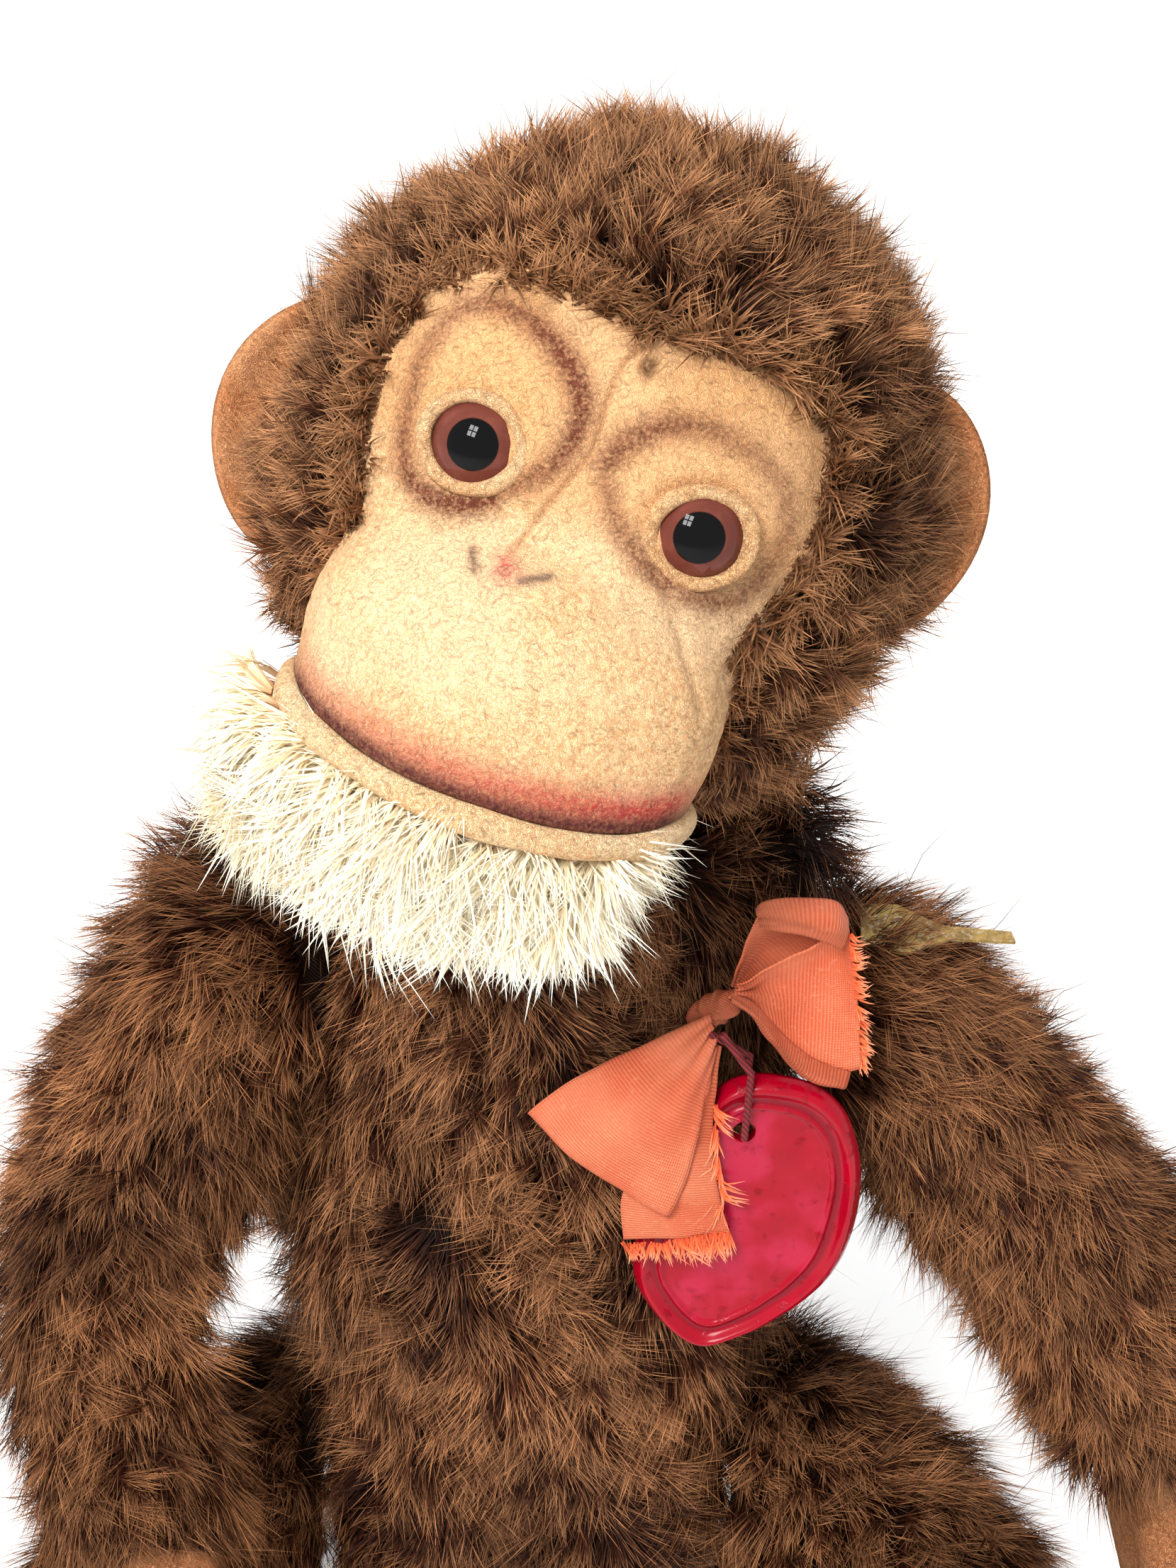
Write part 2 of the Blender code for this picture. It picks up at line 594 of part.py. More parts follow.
# Limb joints
def limb_joint(name, side, ahead, height, disc, torso_inside, disc_seat):
    """Two hardboard discs on a split pin, with the holes and pockets that hold them."""
    centre = (0, -ahead, height)
    limb_disc_at = JOINT_FACE + LIMB_PLUSH
    torso_disc_at = torso_inside - disc_seat - DISC_GAUGE
    hole = COTTER_DIAMETER / 2 + 2 * GAP
    limb_low, limb_high = limb_disc_at + GAP, limb_disc_at + GAP + DISC_GAUGE
    torso_low, torso_high = torso_disc_at, torso_disc_at + DISC_GAUGE
    mirror = Matrix.Diagonal((side, 1, 1, 1))

    def about(mesh):
        along_x(mesh, centre)
        mesh.transform(mirror)
        if side < 0:
            mesh.flip_normals()
        return mesh

    piece(name + "_limb_disc", about(tube(disc, hole, limb_low, limb_high, 16)), HARDBOARD)
    piece(name + "_torso_disc", about(tube(disc, hole, torso_low, torso_high, 16)), HARDBOARD)
    washer = 3.5 * MM
    head = limb_high + GAP
    tail = torso_low - GAP
    shank_radius = COTTER_DIAMETER / 2
    cotter = turned([
        (0, head + 2.4 * MM), (1.6 * MM, head + 1.8 * MM), (1.9 * MM, head + 0.8 * MM), (washer, head + 0.8 * MM),
        (washer, head), (shank_radius, head), (shank_radius, tail), (washer, tail),
        (washer, tail - 0.8 * MM), (1.5 * MM, tail - 0.8 * MM), (1.2 * MM, tail - 2.2 * MM), (0, tail - 2.4 * MM),
    ], 10)
    piece(name + "_split_pin", about(cotter), STEEL)
    limb_pocket = turned([
        (0, head + 3 * MM), (washer + GAP, head + 3 * MM), (washer + GAP, limb_high + GAP),
        (disc + GAP, limb_high + GAP), (disc + GAP, limb_disc_at),
        (hole, limb_disc_at), (hole, JOINT_FACE - 4 * MM), (0, JOINT_FACE - 4 * MM),
    ], 16)
    torso_pocket = turned([
        (0, torso_inside + 4 * MM), (disc + GAP, torso_inside + 4 * MM), (disc + GAP, torso_low - GAP),
        (washer + GAP, torso_low - GAP), (washer + GAP, tail - 3 * MM), (0, tail - 3 * MM),
    ], 16)
    wall_hole = cylinder(hole, torso_inside - 9 * MM, JOINT_FACE + 3 * MM, 12)
    shape(torso_stuffing, cutter(name + "_torso_pocket", about(torso_pocket)))
    shape(torso_cover, cutter(name + "_wall_hole", about(wall_hole)))
    return cutter(name + "_limb_pocket", about(limb_pocket))


def placed(sections, side, joint, unit):
    """Rings measured from a joint, whose places are in units and whose radii are in millimetres."""
    start = Vector((side * JOINT_FACE, -joint[0], joint[1]))
    return [(start + Vector((side * c[0], c[1], c[2])) * unit, (side * a[0], a[1], a[2]), w * MM, t * MM)
            for c, a, w, t in sections]


def limb(name, sections, side, joint, unit, pocket):
    made = piece(name, lofted(placed(sections, side, joint, unit)), MOHAIR)
    subdivide(made)
    shape(made, pocket)
    return made


shoulder = (SHOULDER_AHEAD, SHOULDER_HEIGHT)
hip = (HIP_AHEAD, HIP_HEIGHT)
arm_unit = ARM_LENGTH / 100
leg_unit = LEG_LENGTH / 100
shoulder_inside = TORSO_WIDENING * (CHEST_RADIUS - PLUSH)
hip_inside = TORSO_WIDENING * (HIP_RADIUS - PLUSH)

left_pocket = limb_joint("left_shoulder", 1, SHOULDER_AHEAD, SHOULDER_HEIGHT, SHOULDER_DISC, shoulder_inside, SHOULDER_SEAT)
limb("left_arm", [
    ((0, 0, 0), (1, 0, 0), 12, 12),
    ((1, 0, 0), (1, 0, -0.05), 15.5, 15.5),
    ((12, -1, -0.5), (1, -0.05, -0.5), 17, 17),
    ((22, -2, -14), (0.8, -0.05, -0.8), 16.5, 17),
    ((35.5, -4, -27.5), (0.75, -0.1, -1), 16.5, 16.5),
    ((45.5, -6, -41.5), (0.5, -0.2, -1), 16.5, 16.5),
    ((53.8, -9, -57), (0.4, -0.25, -1), 15, 15),
    ((59.3, -12, -69.5), (0.3, -0.25, -1), 13.5, 13.5),
    ((62.8, -14.2, -76.8), (0.3, -0.25, -1), 12, 12),
], 1, shoulder, arm_unit, left_pocket)

right_pocket = limb_joint("right_shoulder", -1, SHOULDER_AHEAD, SHOULDER_HEIGHT, SHOULDER_DISC, shoulder_inside, SHOULDER_SEAT)
limb("right_arm", [
    ((0, 0, 0), (1, 0, 0), 12, 12),
    ((1, 0, 0), (1, 0, -0.05), 15.5, 15.5),
    ((11.5, -2, 2.5), (1, -0.15, -0.6), 17, 17),
    ((19.5, -7, -13), (0.5, -0.3, -1), 16.5, 17),
    ((26, -14, -29), (0.25, -0.5, -1), 16.5, 16.5),
    ((28, -24, -42.5), (-0.1, -0.9, -1), 16.5, 16),
    ((25.1, -36, -53.5), (-0.35, -1.1, -0.8), 14.5, 14),
    ((20.1, -47, -59.5), (-0.4, -1, -0.4), 12.5, 11.5),
    ((17.3, -53.8, -61.7), (-0.4, -1, -0.3), 11.5, 10),
], -1, shoulder, arm_unit, right_pocket)

left_hip_pocket = limb_joint("left_hip", 1, HIP_AHEAD, HIP_HEIGHT, HIP_DISC, hip_inside, HIP_SEAT)
limb("left_leg", [
    ((0, 0, 0), (1, 0, 0), 14, 14),
    ((1, 0, 0), (1, -0.05, 0), 17, 17),
    ((11.1, -6, 0), (1, -0.5, 0), 19, 19),
    ((21.1, -20, 0), (0.7, -1, 0), 18.5, 19),
    ((29.1, -35, 0), (0.5, -1, 0.02), 18, 18.5),
    ((37.1, -52, -1), (0.45, -1, -0.08), 17, 17.5),
    ((44.1, -69, -3), (0.4, -1, -0.05), 14.5, 15),
    ((48.5, -80.1, -3.5), (0.35, -1, 0), 13, 13),
], 1, hip, leg_unit, left_hip_pocket)

right_hip_pocket = limb_joint("right_hip", -1, HIP_AHEAD, HIP_HEIGHT, HIP_DISC, hip_inside, HIP_SEAT)
limb("right_leg", [
    ((0, 0, 0), (1, 0, 0), 14, 14),
    ((1, 0, -0.5), (1, -0.05, 0), 16, 16),
    ((9.5, -8, -3.5), (1, -0.6, -0.1), 16.5, 16.5),
    ((17.5, -22, -4.5), (0.5, -1, 0), 16, 16.5),
    ((23.8, -38, -5), (0.3, -1, 0), 15.5, 16),
    ((29, -56, -5.2), (0.25, -1, 0), 15, 15.2),
    ((33.1, -73, -5.5), (0.2, -1, 0), 13.5, 14),
    ((35.3, -84, -5.5), (0.2, -1, 0), 12.5, 12.5),
], -1, hip, leg_unit, right_hip_pocket)


def mitt(name, side, joint, unit, sections, thumb):
    """A felt hand or foot: a flat mitt with its thumb joined on."""
    made = piece(name, lofted(placed(sections, side, joint, unit), 8), HAND_FELT)
    subdivide(made)
    thumb_mesh = lofted(placed(thumb, side, joint, unit), 7)
    shape(made, cutter(name + "_thumb", thumb_mesh), "UNION")
    return made


mitt("left_hand", 1, shoulder, arm_unit, [
    ((63, -14.3, -76.6), (0.3, -0.25, -1), 6.5, 8),
    ((64.3, -15.4, -81), (0.25, -0.25, -1), 6.5, 10),
    ((66.7, -17.6, -90), (0.25, -0.2, -1), 5.5, 11),
    ((68.3, -19, -98), (0.2, -0.15, -1), 4.5, 10),
    ((69.5, -19.8, -104.5), (0.2, -0.1, -1), 3.5, 7),
], [
    ((64.1, -21, -84), (0.1, -0.8, -0.6), 4, 4),
    ((64.7, -27, -88.5), (0.1, -0.8, -0.6), 3.8, 3.8),
    ((65.1, -31.5, -92.2), (0.1, -0.7, -0.7), 2.6, 2.6),
])
mitt("right_hand", -1, shoulder, arm_unit, [
    ((17.3, -53.8, -61.7), (-0.4, -1, -0.3), 8, 5.8),
    ((15.9, -58, -62.8), (-0.3, -1, -0.25), 9.5, 5.6),
    ((13.1, -67, -64.6), (-0.3, -1, -0.2), 10.5, 5),
    ((11.1, -75, -66), (-0.2, -1, -0.15), 9.5, 4.2),
    ((10.1, -81, -66.8), (-0.2, -1, -0.1), 7, 3.2),
], [
    ((8.1, -60, -63), (-0.9, -0.6, -0.1), 4, 3.8),
    ((2.6, -64.5, -63.8), (-0.8, -0.8, -0.1), 3.8, 3.6),
    ((-0.4, -68, -64.4), (-0.6, -0.9, -0.1), 2.6, 2.6),
])
mitt("left_foot", 1, hip, leg_unit, [
    ((48.4, -79.9, -3.5), (0.35, -1, 0), 9, 9),
    ((50.1, -85, -4), (0.35, -1, 0.1), 10.5, 11),
    ((53.1, -93, -1), (0.3, -0.8, 0.6), 10.5, 8),
    ((55.1, -98.5, 7), (0.2, -0.4, 1), 10, 6),
    ((56.3, -101.5, 16), (0.2, -0.2, 1), 8, 4.5),
    ((56.9, -102.5, 21), (0.2, -0.1, 1), 5.5, 3.5),
], [
    ((47.1, -95, 3), (-0.8, -0.2, 0.5), 4, 4),
    ((42.1, -97, 7), (-0.8, -0.2, 0.6), 3.8, 3.8),
    ((39.6, -98, 10), (-0.6, -0.2, 0.8), 2.6, 2.6),
])
mitt("right_foot", -1, hip, leg_unit, [
    ((35.2, -83.8, -5.5), (0.2, -1, 0), 9, 9),
    ((36.1, -89, -6), (0.2, -1, 0.1), 10.5, 11),
    ((37.6, -97, -3), (0.15, -0.8, 0.6), 10.5, 8),
    ((38.6, -102.5, 5), (0.1, -0.4, 1), 10, 6),
    ((39.1, -105.5, 14), (0.1, -0.2, 1), 8, 4.5),
    ((39.3, -106.5, 19), (0.1, -0.1, 1), 5.5, 3.5),
], [
    ((30.1, -99, 1), (-0.8, -0.2, 0.5), 4, 4),
    ((25.1, -101, 5), (-0.8, -0.2, 0.6), 3.8, 3.8),
    ((22.6, -102, 8), (-0.6, -0.2, 0.8), 2.6, 2.6),
])

# Head stuffing: an egg of wood wool with the neck hollow, the anchor's slot and the eye sockets
skull_middle = (0, 0, SKULL_RISE)
head_stuffing = piece("head_stuffing", ball(SKULL, skull_middle), WOOD_WOOL, head_pose)
neck_hollow = cutter("neck_hollow", ball([NECK_HOLLOW] * 3, segments=20, rings=10), lever_pose)
shape(head_stuffing, neck_hollow)
anchor_room = cylinder(ANCHOR_RADIUS + GAP, anchor_foot - GAP, anchor_foot + ANCHOR_GAUGE + GAP, 32)
anchor_room.transform(Matrix.Translation((0, -ANCHOR_AHEAD, 0)))
shape(head_stuffing, cutter("anchor_room", anchor_room, lever_pose))
shank_room = box((-LEVER_ASIDE - slot_half, -ANCHOR_AHEAD - shank - 2 * MM, anchor_foot - 9 * MM),
                 (-LEVER_ASIDE + slot_half, -ANCHOR_AHEAD + shank + 3 * MM, lever_top + GAP))
shape(head_stuffing, cutter("shank_room", shank_room, lever_pose))

# Head cover: brown plush over the back, sides and crown, open at the face and the neck
head_cover = piece("head_cover", ball(grown(SKULL, GAP + PLUSH), skull_middle), MOHAIR, head_pose)
shape(head_cover, cutter("skull_room", ball(grown(SKULL, GAP), skull_middle), head_pose))
shape(head_cover, neck_hollow)


def face_prism(name, grow):
    """The outline of the felt face, pushed through the front of the head."""
    half = [(0, 21.5), (10, 21), (20, 20.5), (25.5, 16.5), (28.5, 8), (28, -1), (25.5, -8), (24.5, -16)]
    right_side = [(x * MM + (grow if x else 0), z * MM + (grow if z > 10 else 0)) for x, z in half]
    outline = right_side + [(-x, z) for x, z in reversed(right_side[1:])]
    mesh = plate([outline], 40 * MM)
    mesh.transform(Matrix.Translation((0, -30 * MM, 0)) @ Matrix.Rotation(math.pi / 2, 4, "X"))
    return cutter(name, mesh, head_pose)


muzzle_middle = (0, -MUZZLE_AHEAD, -MUZZLE_DROP)
muzzle_room = cutter("muzzle_room", ball(grown(MUZZLE, GAP), muzzle_middle), head_pose)
shape(head_cover, face_prism("face_opening", GAP))
shape(head_cover, muzzle_room)

# Felt face: the upper mask, cut away where the muzzle is sewn in
face_felt = piece("face_felt", ball(grown(SKULL, GAP + FELT), skull_middle), TAN_FELT, head_pose)
shape(face_felt, cutter("face_lining", ball(grown(SKULL, GAP), skull_middle), head_pose))
shape(face_felt, face_prism("face_outline", 0), "INTERSECT")
shape(face_felt, muzzle_room)

# Muzzle: a stuffed felt dome that ends at the mouth
muzzle = piece("muzzle", ball(MUZZLE, muzzle_middle), TAN_FELT, head_pose)
skull_seat = cutter("skull_seat", ball(grown(SKULL, GAP), skull_middle), head_pose)
shape(muzzle, skull_seat)
below = Matrix.Translation((0, -MUZZLE_AHEAD, -MOUTH_DROP)) @ Matrix.Rotation(MOUTH_SLOPE, 4, "X")


def mouth_slab(name, high, low):
    """A wide slab parallel to the mouth, between two heights counted down from it."""
    mesh = box((-50 * MM, -50 * MM, -low), (50 * MM, 50 * MM, -high))
    mesh.transform(below)
    return cutter(name, mesh, head_pose)


shape(muzzle, mouth_slab("under_mouth", 0, 40 * MM))

# Lower lip: a rolled felt band under the mouth
lip_middle = (0, -MUZZLE_AHEAD, -MUZZLE_DROP - MM)
lower_lip = piece("lower_lip", ball(grown(MUZZLE, MM), lip_middle), TAN_FELT, head_pose)
shape(lower_lip, mouth_slab("lip_layer", GAP, LIP_THICKNESS), "INTERSECT")
shape(lower_lip, cutter("lip_seat", ball(grown(SKULL, PLUSH + 2 * GAP), skull_middle), head_pose))

# Beard: a band of long cream mohair under the lip
beard = piece("beard", ball(BEARD, (0, -BEARD_AHEAD, -BEARD_DROP)), CREAM_MOHAIR, head_pose)
shape(beard, mouth_slab("above_beard", -40 * MM, LIP_THICKNESS + GAP))
shape(beard, cutter("beard_seat", ball(grown(SKULL, PLUSH + 2 * GAP), skull_middle), head_pose))
head_lip_room = cutter("head_lip_room", ball(grown(MUZZLE, MM + GAP), lip_middle), head_pose)
shape(head_cover, head_lip_room)

# Eyes: glass with a wire shank, each in a rolled felt lid
for name, side in (("left", 1), ("right", -1)):
    eye_at = Vector((side * EYE_SPACING / 2, -EYE_DEPTH, EYE_HEIGHT))
    eye_radii = [EYE_RADIUS] * 3
    piece(name + "_eye", ball(eye_radii, eye_at, 18, 10), GLASS, head_pose)
    socket = cutter(name + "_socket", ball(grown(eye_radii, GAP), eye_at, 16, 8), head_pose)
    shape(head_stuffing, socket)
    sight = cylinder(EYE_RADIUS + GAP, -6 * MM, 12 * MM, 18)
    sight.transform(Matrix.Translation(eye_at) @ Matrix.Rotation(math.pi / 2, 4, "X"))
    shape(face_felt, cutter(name + "_eye_opening", sight, head_pose))
    shank_start = eye_at + Vector((0, EYE_RADIUS + GAP, 0))
    shank_way = [shank_start + Vector((x, y, 0)) * MM for x, y in ((0, 0), (0, 8), (1.5, 10), (0, 12))]
    piece(name + "_eye_shank", wire(shank_way, 0.9 * MM, 1), STEEL, head_pose)
    shank_hole = cylinder(2.6 * MM, 0, 20 * MM, 12)
    shank_hole.transform(Matrix.Translation(eye_at) @ Matrix.Rotation(-math.pi / 2, 4, "X"))
    shape(head_stuffing, cutter(name + "_shank_hole", shank_hole, head_pose))
    felt_at = -(SKULL.y + GAP + FELT) * math.sqrt(
        1 - (eye_at.x / (SKULL.x + GAP + FELT)) ** 2 - ((EYE_HEIGHT - SKULL_RISE) / (SKULL.z + GAP + FELT)) ** 2)
    lean = math.atan2(eye_at.x * SKULL.y ** 2, -felt_at * SKULL.x ** 2)
    lid = tube(LID_RADIUS + LID_ROLL, LID_RADIUS - LID_ROLL, -LID_ROLL * 0.8, LID_ROLL * 0.8, 20)
    stand_off = (-felt_at - EYE_DEPTH) * math.cos(lean) + GAP + LID_ROLL * 0.8
    lid.transform(
        Matrix.Translation(eye_at) @ Matrix.Rotation(lean, 4, "Z")
        @ Matrix.Translation((0, -stand_off, 0)) @ Matrix.Rotation(math.pi / 2, 4, "X"))
    piece(name + "_eyelid", lid, TAN_FELT, head_pose)

# Ears: cupped felt, sewn into slits in the plush
def ear_form(side, gauge, grow):
    """A felt dish whose hollow faces forward; gauge is its thickness."""
    shares = [0, 0.4, 0.7, 0.9, 1]
    low = [(share, EAR_CUP * (1 - share ** 2) - gauge / 2) for share in shares]
    high = [(share, EAR_CUP * (1 - share ** 2) + gauge / 2) for share in shares]
    mesh = turned([*high, *reversed(low)], 20)
    mesh.transform(
        Matrix.Translation((side * EAR_OUT, EAR_BACK - EAR_CUP, side * EAR_UNEVEN))
        @ Matrix.Rotation(-math.pi / 2, 4, "X")
        @ Matrix.Diagonal((EAR_HALF_WIDTH + grow, EAR_HALF_HEIGHT + grow, 1, 1)))
    return mesh


for name, side in (("left", 1), ("right", -1)):
    ear = piece(name + "_ear", ear_form(side, FELT, 0), HAND_FELT, head_pose)
    shape(ear, skull_seat)
    shape(head_cover, cutter(name + "_ear_slit", ear_form(side, FELT + 2 * GAP, GAP), head_pose))

# Ribbon: a limp bow pinned to the chest
knot_radii = (3.2 * MM, 3.2 * MM, 3.6 * MM)
piece("ribbon_knot", ball(knot_radii, KNOT_PLACE, 14, 8), SILK)


def ribbon(name, outline, lean, turn):
    """A flat length of ribbon beside the knot; lean brings its foot forward, turn its left side."""
    mesh = plate([[(x * MM, z * MM) for x, z in outline]], RIBBON)
    mesh.transform(Matrix.Translation(KNOT_PLACE) @ Matrix.Rotation(math.radians(turn), 4, "Z")
                   @ Matrix.Rotation(math.radians(90 - lean), 4, "X"))
    return piece(name, mesh, SILK)


ribbon("ribbon_left_loop", [(3.7, 2), (2.6, 9), (7, 13), (15, 12.5), (18, 8), (19, -6), (12, -6), (4, -3)], 8, 10)
ribbon("ribbon_right_loop", [(-3.7, 1), (-11, -5), (-25.5, -14.5), (-16, -23), (-8, -25.5), (-4.6, -4)], 13.5, 3)

# Medallion: a moulded plastic oval, uneven like sealing wax, on a thread from the knot
medal_unit = MEDAL_HEIGHT / 43.6
medal_outline = [(x * medal_unit, z * medal_unit) for x, z in (
    (-3.8, 21), (0, 22.4), (4.7, 22.1), (8.5, 21), (11.8, 18.2), (13.8, 13.9), (14.9, 9.9), (15.3, 5.3),
    (15.2, 1.4), (14.6, -2.6), (13.2, -7.1), (10.4, -11.4), (6.1, -15.5), (0.9, -19), (-4.2, -21.1),
    (-7.7, -19), (-10.8, -15.5), (-13.1, -11.9), (-13.9, -8.4), (-13.7, -4.3), (-12.8, 0), (-11.6, 4.3),
    (-10.2, 8.6), (-8.7, 12.6), (-6.7, 17))]
hole_outline = arc((-0.9 * MM, MEDAL_HOLE_RISE), MEDAL_HOLE, 0, 330, 11)
medal_mesh = plate([medal_outline, hole_outline], MEDAL_THICKNESS)
medal_place = Matrix.Translation(MEDAL_PLACE) @ Matrix.Rotation(math.pi / 2 - MEDAL_LEAN, 4, "X")
medal_mesh.transform(medal_place)
piece("medallion", medal_mesh, RED_PLASTIC)

# Thread: a loop from the knot through the medallion's hole and back
hole_middle = medal_place @ Vector((-0.9 * MM, MEDAL_HOLE_RISE, 0))
thread_drop = THREAD_DIAMETER / 2 + GAP
thread_side = MEDAL_THICKNESS / 2 + thread_drop + GAP
knot_face = KNOT_PLACE + Vector((0, -knot_radii[1] - thread_drop, 0))
edge_rise = MEDAL_HEIGHT / 2 - MEDAL_HOLE_RISE + 2.2 * MM
thread_way = [
    (0, MEDAL_HOLE_RISE + edge_rise, -thread_side), (0, MEDAL_HOLE_RISE, -thread_side),
    (0, MEDAL_HOLE_RISE, thread_side), (0, MEDAL_HOLE_RISE + edge_rise, thread_side),
]
through = [medal_place @ Vector((x - 0.9 * MM, y, z)) for x, y, z in thread_way]
thread_points = [
    knot_face + Vector((-0.9 * MM, -0.2 * MM, 0)),
    *through,
    knot_face + Vector((0.9 * MM, -0.2 * MM, 0)),
]
piece("medallion_thread", wire(thread_points, THREAD_DIAMETER), THREAD)

# Loose end of the ribbon: it lies on the medallion and lifts with it
ribbon_end_mesh = plate([[(x * MM, z * MM) for x, z in (
    (-2, -1.5), (2, -1.5), (1.8, -12), (3.4, -29), (-3, -33), (-13, -33), (-13, -28.5), (-5, -12))]], RIBBON)
end_stand = MEDAL_THICKNESS / 2 + RIBBON / 2 + GAP
end_root = KNOT_PLACE + Vector((0, 0, -knot_radii[2] - GAP))
ribbon_end_mesh.transform(medal_place @ Matrix.Translation((
    end_root.x - MEDAL_PLACE.x, (end_root.z - MEDAL_PLACE.z) / math.cos(MEDAL_LEAN), end_stand)))
piece("ribbon_end", ribbon_end_mesh, SILK)

# Paper remnant in the left shoulder's seam
remnant = plate([[(x * MM, y * MM) for x, y in (
    (0, -3.5), (6, -4.5), (12, -1.2), (21, -0.6), (20.5, 1.2), (11, 1), (5, 4), (0, 3.5))]], 0.5 * MM)
remnant.transform(Matrix.Translation((39.5 * MM, -6 * MM, SHOULDER_HEIGHT + 14 * MM)) @ Matrix.Rotation(math.radians(2), 4, "Y")
                  @ Matrix.Rotation(math.radians(14), 4, "X"))
piece("label_remnant", remnant, OLD_GOLD)
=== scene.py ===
import math

import bmesh
import bpy
import numpy as np
from mathutils import Euler, Matrix, Vector
from mathutils.bvhtree import BVHTree
from mathutils.kdtree import KDTree


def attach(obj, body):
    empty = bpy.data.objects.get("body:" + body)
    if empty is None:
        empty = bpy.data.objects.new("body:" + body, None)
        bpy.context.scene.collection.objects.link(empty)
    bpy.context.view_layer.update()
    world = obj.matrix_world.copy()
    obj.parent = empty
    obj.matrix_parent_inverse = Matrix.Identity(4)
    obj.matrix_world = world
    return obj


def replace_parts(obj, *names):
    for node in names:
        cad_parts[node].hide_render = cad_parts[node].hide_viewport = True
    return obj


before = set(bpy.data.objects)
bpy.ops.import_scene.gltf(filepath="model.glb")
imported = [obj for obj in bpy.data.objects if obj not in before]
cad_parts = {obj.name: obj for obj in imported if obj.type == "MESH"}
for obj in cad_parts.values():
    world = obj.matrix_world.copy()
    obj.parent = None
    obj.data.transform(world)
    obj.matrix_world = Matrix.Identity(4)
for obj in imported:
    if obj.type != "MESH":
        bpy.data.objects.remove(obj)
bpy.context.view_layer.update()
MM = 0.001

# Camera
# It looks down on the monkey from the front, close by, so the head is large and the legs run out of the
# picture.
view = bpy.data.cameras.new("camera")
view.sensor_width, view.sensor_fit, view.lens, view.clip_start = 36, "AUTO", 61.03, 0.01
camera = bpy.data.objects.new("camera", view)
camera.location = (0, -0.29660, 0.33466)
camera.rotation_euler = Euler([math.radians(a) for a in (56.86318563, -3.49274581, 1.96799721)])
bpy.context.collection.objects.link(camera)
bpy.context.scene.camera = camera
bpy.context.scene.view_settings.view_transform = "Standard"


# Floor
# A pale paper sweep under the monkey. Its colour, and not the lamps, makes the background white.
class Value:
    """A value in a material, which can stand in an expression."""

    def __init__(self, tree, socket=None):
        self.tree, self.socket = tree, socket

    def fill(self, socket, value):
        if isinstance(value, Value):
            self.tree.links.new(value.socket, socket)
        else:
            socket.default_value = value

    def node(self, kind, settings={}, inputs={}, output=0):
        """Adds a node: its settings are set first, then values or links go to its inputs."""
        made = self.tree.nodes.new("ShaderNode" + kind)
        for key, value in settings.items():
            if key == "stops":
                stops = made.color_ramp.elements
                while len(stops) < len(value):
                    stops.new(1)
                for stop, (place, colour) in zip(stops, value):
                    stop.position, stop.color = place, (*colour[:3], 1)
            else:
                setattr(made, key, value)
        for key, value in inputs.items():
            self.fill(made.inputs[key], value)
        return Value(self.tree, made.outputs[output])

    def math(self, operation, *values):
        return self.node("Math", {"operation": operation}, dict(enumerate(values)))

    def __add__(self, other):
        return self.math("ADD", self, other)

    def __mul__(self, other):
        return self.math("MULTIPLY", self, other)

    __radd__, __rmul__ = __add__, __mul__

    def __sub__(self, other):
        return self.math("SUBTRACT", self, other)

    def __rsub__(self, other):
        return self.math("SUBTRACT", other, self)

    def __truediv__(self, other):
        return self.math("DIVIDE", self, other)

    def clear(self, low, high):
        """0 below low, 1 above high, and smooth between."""
        return self.node("MapRange", {"interpolation_type": "SMOOTHSTEP"},
                         {"Value": self, "From Min": low, "From Max": high})

    def blend(self, first, second):
        """The first colour where this is 0, and the second where it is 1."""
        return self.node("Mix", {"data_type": "RGBA"}, {0: self, 6: first, 7: second}, 2)

    def coords(self):
        """Places on the object, in metres."""
        return self.node("TexCoord", {}, {}, 3)

    def along(self, axis):
        return self.node("SeparateXYZ", {}, {"Vector": self}, axis)

    def drawn(self, height):
        """These coordinates squeezed in height, so that noise on them is drawn out upwards."""
        return self.node("Mapping", {}, {"Vector": self, "Scale": (1, 1, height)})

    def noise(self, scale, detail=2.0, rough=0.5):
        """Noise on these coordinates, from about 0.3 to 0.7."""
        return self.node("TexNoise", {}, {
            "Vector": self, "Scale": scale, "Detail": detail, "Roughness": rough})

    def bands(self, scale, bent, detail=2.0, detail_scale=1.0, way="DIAGONAL"):
        """Wavy bands on these coordinates, from 0 to 1."""
        return self.node("TexWave", {"bands_direction": way}, {
            "Vector": self, "Scale": scale, "Distortion": bent, "Detail": detail,
            "Detail Scale": detail_scale}, 1)


def surface(name, make):
    """A material: make gets a Value to build on and returns what goes to the Principled sockets."""
    made = bpy.data.materials.new(name)
    made.use_nodes = True
    base = Value(made.node_tree)
    for key, value in make(base).items():
        if key == "Height":
            height, depth = value
            key = "Normal"
            value = base.node("Bump", {}, {"Height": height, "Distance": depth, "Strength": 1.0})
        base.fill(made.node_tree.nodes["Principled BSDF"].inputs[key], value)
    return made


def seen_rays(base):
    """1 for a ray from the camera, from a reflection or through glass, and 0 for one that lights a surface."""
    return base.node("LightPath") + base.node("LightPath", {}, {}, 3) + base.node("LightPath", {}, {}, 6)


def floor_paper(base):
    fibre = base.coords().noise(900.0, 3.0)
    return {
        "Base Color": fibre.blend((0.80, 0.80, 0.79, 1), (0.83, 0.83, 0.82, 1)),
        "Roughness": 0.95, "Specular IOR Level": 0.1,
        "Emission Color": seen_rays(base).blend((0, 0, 0, 1), (0.5, 0.5, 0.5, 1)), "Emission Strength": 1.0,
    }


